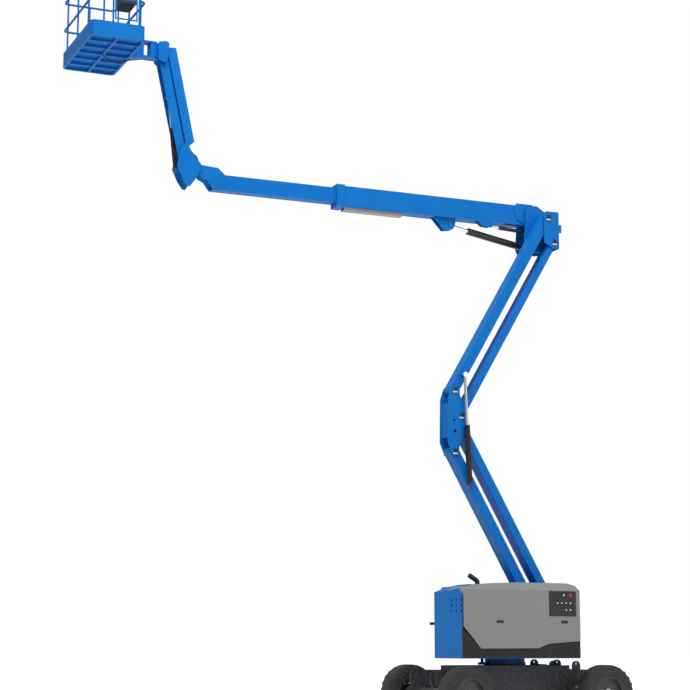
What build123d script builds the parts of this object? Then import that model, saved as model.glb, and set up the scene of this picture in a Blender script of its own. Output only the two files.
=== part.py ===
from build123d import *
from math import atan2, cos, degrees, radians, sin
import os

# Articulating boom lift. Frame: +X is the driving direction, +Y the left side, +Z up, in mm.
# The origin is on the ground under the slew axis. Everything is modelled in its working pose.

# Clearances
PIN_CLEAR = 0.5
SIDE_CLEAR = 10.0
PAD_CLEAR = 1.0

# Wheels and axles
WHEEL_BASE = 2510.0
TYRE_RADIUS = 440.0
TYRE_WIDTH = 355.0
TRACK_OUTSIDE = 2490.0
TYRE_SHOULDER = 60.0
TYRE_WALL = 45.0
RIM_RADIUS = 243.0
RIM_WALL = 12.0
RIM_WIDTH = 300.0
RIM_DISC_INSET = 95.0
RIM_DISC = 20.0
HUB_RADIUS = 90.0
SPINDLE_RADIUS = 45.0
SPINDLE_END = 1147.0
AXLE_SIZE = 140.0
AXLE_HALF = 700.0
KINGPIN_Y = 760.0
KINGPIN_RADIUS = 20.0
EAR_THICKNESS = 25.0
EAR_LENGTH = 100.0
KNUCKLE_HEIGHT = 130.0
KNUCKLE_DEPTH = 120.0
SPINDLE_BASE = 850.0

# Chassis
DECK_TOP = 870.0
DECK_BOTTOM = 440.0
DECK_HALF_LENGTH = 900.0
DECK_HALF_WIDTH = 560.0
DECK_WALL = 12.0
RAIL_Y = 378.0
RAIL_THICKNESS = 20.0
RAIL_HALF_LENGTH = 1555.0
RAIL_TOP = 800.0
RAIL_BOTTOM = 520.0
RAIL_CHAMFER = 60.0
SLOT_INSET = 85.0
SLOT_Z = 700.0
SLOT_LENGTH = 90.0
SLOT_WIDTH = 30.0

# Slew ring
GEAR_RADIUS = 345.0
GEAR_BORE = 220.0
GEAR_HEIGHT = 50.0
RING_RADIUS = 330.0
RING_GAP = 2.0
PINION_RADIUS = 70.0
PINION_GAP = 5.0
PINION_HEIGHT = 35.0
SHAFT_RADIUS = 25.0

# Turntable
TABLE_BOTTOM = 985.0
TABLE_PLATE = 20.0
TABLE_TOP = TABLE_BOTTOM + TABLE_PLATE
SIDE_Y = 1190.0
BOX_FRONT = 1380.0
BOX_INNER_Y = 190.0
FAR_FRONT = 620.0
FAR_INNER_Y = -500.0
BOX_REAR = -740.0
TAIL_X = -1190.0
TAIL_NEAR_Y = 120.0
TAIL_FAR_Y = -430.0
BULKHEAD = 16.0
HOUSING_Y = 560.0
HOUSING_TOP = 2150.0
HOUSING_INNER_TOP = 2060.0
FAR_TOP = 2080.0
WEIGHT_TOP = 1700.0
COVER_WALL = 25.0
COVER_OUTER_Y = 1200.0
COVER_TOP = 2185.0
SEAT = 0.0

# Riser linkage: arms, links and the level middle knuckle
RISER_HALF = 125.0
RISER_DEPTH = 160.0
RISER_WALL = 6.0
RISER_HUB = 80.0
LINK_DEPTH = 110.0
LINK_HUB = 60.0
LINK_WALL = 5.0
PLATE = 20.0
PLATE_INNER = RISER_HALF + SIDE_CLEAR
PLATE_OUTER = PLATE_INNER + PLATE
PIN_RADIUS = 30.0
PIN_HEAD = 8.0
PIN_HEAD_RADIUS = 42.0
LOWER_ANGLE = 60.5
LOWER_LENGTH = 3600.0
UPPER_ANGLE = 120.6
UPPER_LENGTH = 3640.0
LOWER_BASE = (-829.0, 1237.0)
LOWER_LINK_SHIFT = (-134.0, 430.0)
UPPER_LINK_SHIFT = (-115.0, -430.0)
KNUCKLE_RISE = (-14.0, 1032.0)


def moved(point, shift):
    return (point[0] + shift[0], point[1] + shift[1])


def along(point, angle, distance, side=0.0):
    return (
        point[0] + distance * cos(radians(angle)) - side * sin(radians(angle)),
        point[1] + distance * sin(radians(angle)) + side * cos(radians(angle)),
    )


LOWER_TIP = along(LOWER_BASE, LOWER_ANGLE, LOWER_LENGTH)
LOWER_LINK_BASE = moved(LOWER_BASE, LOWER_LINK_SHIFT)
LOWER_LINK_TIP = moved(LOWER_TIP, LOWER_LINK_SHIFT)
UPPER_BASE = moved(LOWER_TIP, KNUCKLE_RISE)
UPPER_TIP = along(UPPER_BASE, UPPER_ANGLE, UPPER_LENGTH)
UPPER_LINK_BASE = moved(UPPER_BASE, UPPER_LINK_SHIFT)
UPPER_LINK_TIP = moved(UPPER_TIP, UPPER_LINK_SHIFT)

# Riser cylinder, on the left of the knuckle
RISER_CYL_Y = 215.0
RISER_BARREL_RADIUS = 47.0
RISER_ROD_RADIUS = 25.0
RISER_EYE_RADIUS = 45.0
RISER_EYE_WIDTH = 60.0
RISER_PIN_RADIUS = 18.0
RISER_BARREL_BACK = 606.0
RISER_BARREL_SIDE = -85.0
RISER_ROD_OUT = 288.0
RISER_BARREL_LENGTH = 1000.0
RISER_ROD_INSIDE = 150.0

# Upright and primary boom
BOOM_Y = -325.0
CHEEK_INNER = 145.0
BOOM_PIVOT = (-773.0, 8697.0)
BOOM_PIN_RADIUS = 35.0
WEB_FRONT = -1100.0
WEB = 20.0
UPRIGHT_TOP = 8640.0
UPRIGHT_BOTTOM = 7985.0
BOOM_HALF = 120.0
BOOM_DEPTH = 350.0
BOOM_WALL = 7.0
BOOM_Z = 8615.0
BOOM_FRONT = 2935.0
TAIL_PLATE = 15.0
LIFT_BASE = (-700.0, 8060.0)
LIFT_EYE = (774.0, 8321.0)
MASTER_BASE = (-715.0, 8330.0)
MASTER_EYE = (26.0, 8368.0)
MASTER_Y = -250.0
LIFT_BARREL_RADIUS = 60.0
LIFT_ROD_RADIUS = 32.0
LIFT_BARREL_LENGTH = 1140.0
LIFT_ROD_INSIDE = 560.0
LIFT_EYE_RADIUS = 60.0
LIFT_PIN_RADIUS = 28.0
LIFT_EYE_WIDTH = 90.0
MASTER_BARREL_RADIUS = 33.0
MASTER_ROD_RADIUS = 16.0
MASTER_BARREL_LENGTH = 560.0
MASTER_ROD_INSIDE = 320.0
MASTER_EYE_RADIUS = 30.0
MASTER_PIN_RADIUS = 14.0
MASTER_EYE_WIDTH = 50.0
LUG_PLATE = 15.0
LUG_CLEAR = 3.0

# Extension
EXT_HALF = 90.0
EXT_DEPTH = 260.0
EXT_WALL = 6.0
EXT_Z = 8620.0
EXT_REAR = 1450.0
EXT_FRONT = 5110.0
COLLAR_REAR = 2790.0
COLLAR_WALL = 18.0
PAD_LENGTH = 100.0
HEAD_PLATE = 15.0

# Jib
TIP_PIN = (5370.0, 8824.0)
TIP_PIN_RADIUS = 25.0
SLAVE_PIN = (5475.0, 8619.0)
JIB_BASE = (5584.0, 9133.0)
JIB_LINK_SHIFT = (33.0, -238.0)
JIB_VECTOR = (366.0, 1681.0)
JIB_HALF = 115.0
JIB_TUBE_SIDE = 85.0
JIB_DEPTH = 150.0
JIB_WALL = 5.0
JIB_PIN_RADIUS = 20.0
BELL_PLATE = 16.0

os.makedirs("parts", exist_ok=True)


# Chassis frame: a plate box under the slew ring with two long plates that reach past the wheels
DECK_MIDDLE = (DECK_TOP + DECK_BOTTOM) / 2
LUG_LIFT = 45.0
LUG_PLACES = ((-769.0, DECK_TOP), (-1134.0, RAIL_TOP + LUG_LIFT))
LUG_HALF = 70.0
LUG_HEIGHT = 95.0
LUG_THICKNESS = 40.0
LUG_BORE = 20.0
LUG_BORE_DROP = 45.0
with BuildPart() as chassis_frame:
    with BuildSketch(Plane.XY.offset(DECK_BOTTOM)):
        Rectangle(2 * DECK_HALF_LENGTH, 2 * DECK_HALF_WIDTH)
    extrude(amount=DECK_TOP - DECK_BOTTOM)
    with BuildSketch(Plane.XY.offset(DECK_BOTTOM + DECK_WALL)):
        Rectangle(2 * (DECK_HALF_LENGTH - DECK_WALL), 2 * (DECK_HALF_WIDTH - DECK_WALL))
    extrude(amount=DECK_TOP - DECK_BOTTOM - 2 * DECK_WALL, mode=Mode.SUBTRACT)
    for side in (-1, 1):
        with BuildSketch(Plane.XZ.offset(-side * RAIL_Y - RAIL_THICKNESS / 2)):
            with Locations((0, (RAIL_TOP + RAIL_BOTTOM) / 2)):
                rail = Rectangle(2 * RAIL_HALF_LENGTH, RAIL_TOP - RAIL_BOTTOM)
            chamfer(rail.vertices(), RAIL_CHAMFER)
        extrude(amount=RAIL_THICKNESS)
        with BuildSketch(Plane.XZ.offset(-side * RAIL_Y - LUG_THICKNESS / 2)):
            for lug_x, lug_z in LUG_PLACES:
                with Locations((lug_x, lug_z + (LUG_HEIGHT - LUG_HALF - LUG_LIFT) / 2)):
                    Rectangle(2 * LUG_HALF, LUG_HEIGHT - LUG_HALF + LUG_LIFT)
                with Locations((lug_x, lug_z + LUG_HEIGHT - LUG_HALF)):
                    Circle(LUG_HALF)
            with Locations((0, DECK_MIDDLE)):
                Rectangle(2 * DECK_HALF_LENGTH, DECK_TOP - DECK_BOTTOM, mode=Mode.SUBTRACT)
            with Locations((-(DECK_HALF_LENGTH + RAIL_HALF_LENGTH) / 2, RAIL_BOTTOM)):
                Rectangle(RAIL_HALF_LENGTH - DECK_HALF_LENGTH, 2 * (RAIL_TOP - RAIL_BOTTOM), mode=Mode.SUBTRACT)
            for lug_x, lug_z in LUG_PLACES:
                with Locations((lug_x, lug_z + LUG_HEIGHT - LUG_BORE_DROP)):
                    Circle(LUG_BORE, mode=Mode.SUBTRACT)
        extrude(amount=LUG_THICKNESS)
        with BuildSketch(Plane.XZ.offset(-side * RAIL_Y - RAIL_THICKNESS / 2)):
            with Locations((RAIL_HALF_LENGTH - SLOT_INSET, SLOT_Z), (SLOT_INSET - RAIL_HALF_LENGTH, SLOT_Z)):
                SlotOverall(SLOT_LENGTH, SLOT_WIDTH, rotation=90)
        extrude(amount=RAIL_THICKNESS, mode=Mode.SUBTRACT)
chassis_frame.part.label = "chassis_frame"
export_step(chassis_frame.part, "parts/chassis_frame.step")

# Front axle: beam with seat pads under the long plates, forked ends and kingpins
AXLE_X = WHEEL_BASE / 2
AXLE_TOP = TYRE_RADIUS + AXLE_SIZE / 2
SEAT_PAD = 120.0
EAR_INNER = KNUCKLE_HEIGHT / 2 + 5.0
EAR_OUTER = EAR_INNER + EAR_THICKNESS
EAR_RADIUS = 45.0
with BuildPart() as front_axle:
    with Locations((AXLE_X, 0, TYRE_RADIUS)):
        Box(AXLE_SIZE, 2 * AXLE_HALF, AXLE_SIZE)
    for side in (-1, 1):
        with Locations((AXLE_X, side * RAIL_Y, (AXLE_TOP + RAIL_BOTTOM) / 2)):
            Box(SEAT_PAD, SEAT_PAD, RAIL_BOTTOM - AXLE_TOP)
        with Locations((AXLE_X, side * (AXLE_HALF - EAR_THICKNESS / 2), TYRE_RADIUS)):
            Box(2 * EAR_RADIUS, EAR_THICKNESS, 2 * EAR_OUTER)
        for level in (EAR_INNER, -EAR_OUTER):
            with BuildSketch(Plane.XY.offset(TYRE_RADIUS + level)):
                with Locations((AXLE_X, side * (AXLE_HALF + KINGPIN_Y) / 2)):
                    Rectangle(2 * EAR_RADIUS, KINGPIN_Y - AXLE_HALF)
                with Locations((AXLE_X, side * KINGPIN_Y)):
                    Circle(EAR_RADIUS)
            extrude(amount=EAR_THICKNESS)
        with Locations((AXLE_X, side * KINGPIN_Y, TYRE_RADIUS)):
            Cylinder(KINGPIN_RADIUS, 2 * EAR_OUTER)
front_axle.part.label = "front_axle"
export_step(front_axle.part, "parts/front_axle.step")

# Rear axle: beam with seat pads and a fixed spindle at each end
with BuildPart() as rear_axle:
    with Locations((-AXLE_X, 0, TYRE_RADIUS)):
        Box(AXLE_SIZE, 2 * KINGPIN_Y, AXLE_SIZE)
        Cylinder(SPINDLE_RADIUS, 2 * SPINDLE_END, rotation=(90, 0, 0))
    for side in (-1, 1):
        with Locations((-AXLE_X, side * RAIL_Y, (AXLE_TOP + RAIL_BOTTOM) / 2)):
            Box(SEAT_PAD, SEAT_PAD, RAIL_BOTTOM - AXLE_TOP)
rear_axle.part.label = "rear_axle"
export_step(rear_axle.part, "parts/rear_axle.step")

# Steering knuckles with their spindles
for side_name, side in (("left", 1), ("right", -1)):
    with BuildPart() as steer_knuckle:
        with Locations((AXLE_X, side * KINGPIN_Y, TYRE_RADIUS)):
            Cylinder(EAR_RADIUS - PIN_HEAD, KNUCKLE_HEIGHT)
        with Locations((AXLE_X, side * (KINGPIN_Y + SPINDLE_BASE) / 2, TYRE_RADIUS)):
            Box(2 * (EAR_RADIUS - PIN_HEAD), SPINDLE_BASE - KINGPIN_Y, KNUCKLE_HEIGHT)
        with Locations((AXLE_X, side * (KINGPIN_Y + SPINDLE_END) / 2, TYRE_RADIUS)):
            Cylinder(SPINDLE_RADIUS, SPINDLE_END - KINGPIN_Y, rotation=(90, 0, 0))
        with Locations((AXLE_X, side * KINGPIN_Y, TYRE_RADIUS)):
            Cylinder(KINGPIN_RADIUS + PIN_CLEAR, KNUCKLE_HEIGHT, mode=Mode.SUBTRACT)
    steer_knuckle.part.label = "steer_knuckle_" + side_name
    export_step(steer_knuckle.part, "parts/steer_knuckle_" + side_name + ".step")

# Tyres and rims, turned about the wheel axis
TYRE_OUT = TRACK_OUTSIDE / 2
TYRE_IN = TYRE_OUT - TYRE_WIDTH
BEAD_INSET = 20.0
DISC_FACE = TYRE_OUT - RIM_DISC_INSET
HUB_IN = TYRE_IN - BEAD_INSET
CAP_THICKNESS = 10.0
SHOULDER_STEP = 18.0
for end_name, end in (("front", 1), ("rear", -1)):
    for side_name, side in (("left", 1), ("right", -1)):
        wheel_plane = Plane(origin=(end * AXLE_X, 0, TYRE_RADIUS), x_dir=(0, 1, 0), z_dir=(1, 0, 0))
        wheel_axis = Axis((end * AXLE_X, 0, TYRE_RADIUS), (0, 1, 0))
        wheel_name = end_name + "_" + side_name
        with BuildPart() as tyre:
            with BuildSketch(wheel_plane):
                Polygon(
                    (side * (TYRE_IN + BEAD_INSET), RIM_RADIUS),
                    (side * TYRE_IN, RIM_RADIUS + TYRE_SHOULDER),
                    (side * TYRE_IN, TYRE_RADIUS - TYRE_SHOULDER),
                    (side * (TYRE_IN + SHOULDER_STEP), TYRE_RADIUS - SHOULDER_STEP),
                    (side * (TYRE_IN + TYRE_SHOULDER), TYRE_RADIUS),
                    (side * (TYRE_OUT - TYRE_SHOULDER), TYRE_RADIUS),
                    (side * (TYRE_OUT - SHOULDER_STEP), TYRE_RADIUS - SHOULDER_STEP),
                    (side * TYRE_OUT, TYRE_RADIUS - TYRE_SHOULDER),
                    (side * TYRE_OUT, RIM_RADIUS + TYRE_SHOULDER),
                    (side * (TYRE_OUT - BEAD_INSET), RIM_RADIUS),
                    (side * (TYRE_OUT - BEAD_INSET - TYRE_WALL), RIM_RADIUS),
                    (side * (TYRE_OUT - TYRE_WALL), TYRE_RADIUS - TYRE_SHOULDER),
                    (side * (TYRE_OUT - TYRE_SHOULDER), TYRE_RADIUS - TYRE_WALL),
                    (side * (TYRE_IN + TYRE_SHOULDER), TYRE_RADIUS - TYRE_WALL),
                    (side * (TYRE_IN + TYRE_WALL), TYRE_RADIUS - TYRE_SHOULDER),
                    (side * (TYRE_IN + BEAD_INSET + TYRE_WALL), RIM_RADIUS),
                    align=None,
                )
            revolve(axis=wheel_axis)
        tyre.part.label = "tyre_" + wheel_name
        export_step(tyre.part, "parts/tyre_" + wheel_name + ".step")
        with BuildPart() as rim:
            with BuildSketch(wheel_plane):
                Polygon(
                    (side * HUB_IN, SPINDLE_RADIUS + PIN_CLEAR),
                    (side * DISC_FACE, SPINDLE_RADIUS + PIN_CLEAR),
                    (side * DISC_FACE, 0),
                    (side * (DISC_FACE + CAP_THICKNESS), 0),
                    (side * (DISC_FACE + CAP_THICKNESS), HUB_RADIUS - BEAD_INSET),
                    (side * DISC_FACE, HUB_RADIUS - BEAD_INSET),
                    (side * DISC_FACE, RIM_RADIUS - RIM_WALL),
                    (side * (TYRE_OUT - BEAD_INSET), RIM_RADIUS - RIM_WALL),
                    (side * (TYRE_OUT - BEAD_INSET), RIM_RADIUS),
                    (side * (TYRE_IN + BEAD_INSET), RIM_RADIUS),
                    (side * (TYRE_IN + BEAD_INSET), RIM_RADIUS - RIM_WALL),
                    (side * (DISC_FACE - RIM_DISC), RIM_RADIUS - RIM_WALL),
                    (side * (DISC_FACE - RIM_DISC), HUB_RADIUS),
                    (side * HUB_IN, HUB_RADIUS),
                    align=None,
                )
            revolve(axis=wheel_axis)
        rim.part.label = "rim_" + wheel_name
        export_step(rim.part, "parts/rim_" + wheel_name + ".step")

# Slew gear on the chassis deck
with BuildPart() as slew_gear:
    with BuildSketch(Plane.XY.offset(DECK_TOP)):
        Circle(GEAR_RADIUS)
        Circle(GEAR_BORE, mode=Mode.SUBTRACT)
    extrude(amount=GEAR_HEIGHT)
slew_gear.part.label = "slew_gear"
export_step(slew_gear.part, "parts/slew_gear.step")

# Turntable frame: base plate, bearing ring, riser plates, blue near housing and far bulkhead
TABLE_HALF = 1165.0
TAIL_CORNER_X = BOX_REAR - 5.0
RING_BOTTOM = DECK_TOP + GEAR_HEIGHT + RING_GAP
PINION_X = GEAR_RADIUS + PINION_RADIUS + PINION_GAP
PINION_BOTTOM = DECK_TOP + SIDE_CLEAR
HOUSING_WALL = 8.0
NOSE_TOP = 2040.0
NOSE_MIDDLE = (1200.0, 2110.0)
NOSE_BACK = 950.0
HOUSING_FLAT = 2165.0
BULKHEAD_SIDE_TOP = 1950.0
BULKHEAD_CORNER = (1060.0, 2080.0)
FAR_HOUSING_TOP = 2060.0
RISER_PLATE_FOOT = (-1100.0, -620.0)
RISER_PLATE_NECK = (-1060.0, -690.0, 1400.0)
RISER_PLATE_HEAD = (-1040.0, -880.0, 1745.0)
HOLE_PITCH_Y = 165.0
HOLE_PITCH_Z = 86.0
HOLE_RADIUS = 23.0
HOLE_MIDDLE = (970.0, 1810.0)
HOLE_ROWS = 3
with BuildPart() as turntable_frame:
    with BuildSketch(Plane.XY.offset(TABLE_BOTTOM)):
        Polygon(
            (BOX_FRONT, TABLE_HALF),
            (TAIL_CORNER_X, TABLE_HALF),
            (TAIL_X, TAIL_NEAR_Y),
            (TAIL_X, TAIL_FAR_Y),
            (TAIL_CORNER_X, -TABLE_HALF),
            (FAR_FRONT, -TABLE_HALF),
            (FAR_FRONT, FAR_INNER_Y),
            (BOX_FRONT, BOX_INNER_Y),
            align=None,
        )
    extrude(amount=TABLE_PLATE)
    with BuildSketch(Plane.XY.offset(RING_BOTTOM)):
        Circle(RING_RADIUS)
        Circle(GEAR_BORE, mode=Mode.SUBTRACT)
        with Locations((PINION_X, 0)):
            Circle(SHAFT_RADIUS)
    extrude(amount=TABLE_BOTTOM - RING_BOTTOM)
    with BuildSketch(Plane.XY.offset(PINION_BOTTOM)):
        with Locations((PINION_X, 0)):
            Circle(PINION_RADIUS)
    extrude(amount=RING_BOTTOM - PINION_BOTTOM)
    for side in (-1, 1):
        with BuildSketch(Plane.XZ.offset(-side * (PLATE_INNER + PLATE_OUTER) / 2 - PLATE / 2)):
            Polygon(
                (RISER_PLATE_FOOT[0], TABLE_TOP),
                (RISER_PLATE_FOOT[1], TABLE_TOP),
                (RISER_PLATE_NECK[1], RISER_PLATE_NECK[2]),
                (RISER_PLATE_HEAD[1], RISER_PLATE_HEAD[2]),
                (RISER_PLATE_HEAD[0], RISER_PLATE_HEAD[2]),
                (RISER_PLATE_NECK[0], RISER_PLATE_NECK[2]),
                align=None,
            )
        extrude(amount=PLATE)
    for pin in (LOWER_BASE, LOWER_LINK_BASE):
        with BuildSketch(Plane.XZ.offset(-PLATE_OUTER)):
            with Locations(pin):
                Circle(PIN_RADIUS)
        extrude(amount=2 * PLATE_OUTER)
        with BuildSketch(Plane.XZ.offset(-PLATE_OUTER), Plane.XZ.offset(PLATE_OUTER + PIN_HEAD)):
            with Locations(pin):
                Circle(PIN_HEAD_RADIUS)
        extrude(amount=-PIN_HEAD)
    with BuildSketch(Plane.XZ.offset(-HOUSING_Y)):
        Polygon(
            (BOX_FRONT, TABLE_TOP),
            (BOX_FRONT, NOSE_TOP),
            NOSE_MIDDLE,
            (NOSE_BACK, HOUSING_FLAT),
            (BOX_REAR, HOUSING_FLAT),
            (BOX_REAR, TABLE_TOP),
            align=None,
        )
    extrude(amount=HOUSING_Y - BOX_INNER_Y)
    with BuildSketch(Plane.XZ.offset(-HOUSING_Y)):
        Polygon(
            (BOX_FRONT - BULKHEAD, TABLE_TOP),
            (BOX_FRONT - BULKHEAD, NOSE_TOP - HOUSING_WALL),
            (NOSE_MIDDLE[0] - HOUSING_WALL, NOSE_MIDDLE[1] - HOUSING_WALL),
            (NOSE_BACK - HOUSING_WALL, HOUSING_FLAT - HOUSING_WALL),
            (BOX_REAR + HOUSING_WALL, HOUSING_FLAT - HOUSING_WALL),
            (BOX_REAR + HOUSING_WALL, TABLE_TOP),
            align=None,
        )
    extrude(amount=HOUSING_Y - BOX_INNER_Y - HOUSING_WALL, mode=Mode.SUBTRACT)
    with BuildSketch(Plane.YZ.offset(BOX_FRONT - BULKHEAD)):
        Polygon(
            (HOUSING_Y, TABLE_TOP),
            (TABLE_HALF, TABLE_TOP),
            (TABLE_HALF, BULKHEAD_SIDE_TOP),
            BULKHEAD_CORNER,
            (HOUSING_Y, NOSE_TOP),
            align=None,
        )
        with Locations(HOLE_MIDDLE):
            with GridLocations(HOLE_PITCH_Y, HOLE_PITCH_Z, HOLE_ROWS, HOLE_ROWS):
                Circle(HOLE_RADIUS, mode=Mode.SUBTRACT)
    extrude(amount=BULKHEAD)
    with BuildSketch(Plane.YZ.offset(FAR_FRONT - BULKHEAD)):
        Polygon(
            (FAR_INNER_Y, TABLE_TOP),
            (-TABLE_HALF, TABLE_TOP),
            (-TABLE_HALF, BULKHEAD_SIDE_TOP),
            (-BULKHEAD_CORNER[0], BULKHEAD_CORNER[1]),
            (FAR_INNER_Y, FAR_HOUSING_TOP),
            align=None,
        )
    extrude(amount=BULKHEAD)
    with BuildSketch(Plane.XZ.offset(-FAR_INNER_Y)):
        with Locations(((FAR_FRONT + BOX_REAR) / 2, (TABLE_TOP + FAR_HOUSING_TOP) / 2)):
            Rectangle(FAR_FRONT - BOX_REAR, FAR_HOUSING_TOP - TABLE_TOP)
    extrude(amount=HOUSING_WALL)
turntable_frame.part.label = "turntable_frame"
export_step(turntable_frame.part, "parts/turntable_frame.step")

# Counterweight across the tail, open round the riser plates
WEIGHT_GAP = 15.0
with BuildPart() as counterweight:
    with BuildSketch(Plane.XY.offset(TABLE_TOP)):
        Polygon(
            (TAIL_CORNER_X, TABLE_HALF),
            (TAIL_X, TAIL_NEAR_Y),
            (TAIL_X, TAIL_FAR_Y),
            (TAIL_CORNER_X, -TABLE_HALF),
            align=None,
        )
        with Locations(((TAIL_CORNER_X + RISER_PLATE_FOOT[0] - WEIGHT_GAP) / 2, 0)):
            Rectangle(
                TAIL_CORNER_X - RISER_PLATE_FOOT[0] + WEIGHT_GAP,
                2 * (PLATE_OUTER + PIN_HEAD + WEIGHT_GAP),
                mode=Mode.SUBTRACT,
            )
    extrude(amount=WEIGHT_TOP - TABLE_TOP)
counterweight.part.label = "counterweight"
export_step(counterweight.part, "parts/counterweight.step")

# Heavy inner blocks: engine on the left, battery pack on the right
ENGINE_BLOCK = (600.0, 350.0, 500.0)
ENGINE_PLACE = (550.0, 850.0)
BATTERY_BLOCK = (700.0, 300.0, 350.0)
BATTERY_PLACE = (-150.0, -850.0)
with BuildPart() as power_blocks:
    with Locations((*ENGINE_PLACE, TABLE_TOP)):
        Box(*ENGINE_BLOCK, align=(Align.CENTER, Align.CENTER, Align.MIN))
    with Locations((*BATTERY_PLACE, TABLE_TOP)):
        Box(*BATTERY_BLOCK, align=(Align.CENTER, Align.CENTER, Align.MIN))
power_blocks.part.label = "power_blocks"
export_step(power_blocks.part, "parts/power_blocks.step")

# Covers: moulded shells, one profile for both sides, cut back at the front on the right
COVER_GAP = 5.0
COVER_INNER_Y = HOUSING_Y + COVER_GAP
COVER_CORNER_Y = 1090.0
COVER_CORNER_Z = 2060.0
SKIRT_LINE = ((1060.0, 1140.0), (30.0, 1145.0), (-150.0, 1215.0))
SKIRT_FRONT_Z = 1480.0
SKIRT_REAR_Z = 1260.0
COVER_NOSE = BOX_FRONT - BULKHEAD - COVER_GAP
COVER_NOSE_LINE = ((1400.0, 1944.0), (1350.0, 2045.0), (1230.0, 2107.0), (830.0, 2165.0))
COVER_CROWN_X = 300.0
COVER_TAIL_LINE = ((-560.0, 2180.0), (-690.0, 2145.0))
COVER_TAIL_Z = 2060.0
HINGE_LIP = 40.0
FAR_NOSE_X = FAR_FRONT + COVER_NOSE - BOX_FRONT
for side_name, side in (("left", 1), ("right", -1)):
    with BuildPart() as cover_inside:
        with BuildSketch(Plane.XZ.offset(-side * COVER_INNER_Y)):
            Polygon(
                (2 * COVER_NOSE, 0),
                (2 * COVER_NOSE, COVER_NOSE_LINE[0][1]),
                (COVER_NOSE_LINE[0][0], COVER_NOSE_LINE[0][1] - COVER_WALL),
                (COVER_NOSE_LINE[1][0] - COVER_WALL, COVER_NOSE_LINE[1][1] - COVER_WALL),
                (COVER_NOSE_LINE[2][0], COVER_NOSE_LINE[2][1] - COVER_WALL),
                (COVER_NOSE_LINE[3][0], COVER_NOSE_LINE[3][1] - COVER_WALL),
                (COVER_CROWN_X, COVER_TOP - COVER_WALL),
                (COVER_TAIL_LINE[0][0], COVER_TAIL_LINE[0][1] - COVER_WALL),
                (COVER_TAIL_LINE[1][0] + COVER_WALL / 2, COVER_TAIL_LINE[1][1] - COVER_WALL),
                (BOX_REAR + COVER_WALL, COVER_TAIL_Z),
                (BOX_REAR + COVER_WALL, 0),
                align=None,
            )
        extrude(amount=-side * (COVER_OUTER_Y - COVER_WALL - COVER_INNER_Y))
        with BuildSketch(Plane.YZ.offset(BOX_REAR)):
            Polygon(
                (side * COVER_INNER_Y, 0),
                (side * (COVER_OUTER_Y - COVER_WALL), 0),
                (side * (COVER_OUTER_Y - COVER_WALL), COVER_CORNER_Z),
                (side * COVER_CORNER_Y, COVER_TOP - COVER_WALL),
                (side * COVER_INNER_Y, COVER_TOP - COVER_WALL),
                align=None,
            )
        extrude(amount=2 * COVER_NOSE - BOX_REAR, mode=Mode.INTERSECT)
    with BuildPart() as cover:
        with BuildSketch(Plane.XZ.offset(-side * COVER_INNER_Y)):
            Polygon(
                (COVER_NOSE, SKIRT_FRONT_Z),
                *COVER_NOSE_LINE,
                (COVER_CROWN_X, COVER_TOP),
                *COVER_TAIL_LINE,
                (BOX_REAR, COVER_TAIL_Z),
                (BOX_REAR, SKIRT_REAR_Z),
                SKIRT_LINE[2],
                SKIRT_LINE[1],
                SKIRT_LINE[0],
                align=None,
            )
        extrude(amount=-side * (COVER_OUTER_Y - COVER_INNER_Y))
        with BuildSketch(Plane.YZ.offset(BOX_REAR)):
            Polygon(
                (side * COVER_INNER_Y, 0),
                (side * COVER_OUTER_Y, 0),
                (side * COVER_OUTER_Y, COVER_CORNER_Z),
                (side * COVER_CORNER_Y, COVER_TOP),
                (side * COVER_INNER_Y, COVER_TOP),
                align=None,
            )
        extrude(amount=COVER_NOSE - BOX_REAR, mode=Mode.INTERSECT)
        add(cover_inside.part, mode=Mode.SUBTRACT)
        if side < 0:
            with Locations((FAR_NOSE_X, 0, 0)):
                Box(COVER_NOSE, 4 * COVER_OUTER_Y, 4 * COVER_TOP, align=(Align.MIN, Align.CENTER, Align.MIN),
                    mode=Mode.SUBTRACT)
    cover.part.label = "cover_" + side_name
    export_step(cover.part, "parts/cover_" + side_name + ".step")

# Lower skirts under the covers
SKIRT_BOTTOM = 996.0
SKIRT_GAP = 6.0
with BuildPart() as skirts:
    for side, nose in ((1, BOX_FRONT), (-1, FAR_FRONT)):
        with BuildSketch(Plane.XZ.offset(-side * TABLE_HALF)):
            Polygon(
                (BOX_FRONT, SKIRT_BOTTOM),
                (BOX_FRONT, SKIRT_FRONT_Z - COVER_WALL),
                (SKIRT_LINE[0][0], SKIRT_LINE[0][1] - SKIRT_GAP),
                (SKIRT_LINE[1][0], SKIRT_LINE[1][1] - SKIRT_GAP),
                (SKIRT_LINE[2][0], SKIRT_LINE[2][1] - SKIRT_GAP),
                (BOX_REAR, SKIRT_REAR_Z - SKIRT_GAP),
                (BOX_REAR, SKIRT_BOTTOM),
                align=None,
            )
            with Locations(((nose + 2 * BOX_FRONT) / 2, HOUSING_FLAT / 2)):
                Rectangle(2 * BOX_FRONT - nose, HOUSING_FLAT, mode=Mode.SUBTRACT)
        extrude(amount=-side * (SIDE_Y - TABLE_HALF))
skirts.part.label = "skirts"
export_step(skirts.part, "parts/skirts.step")

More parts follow.
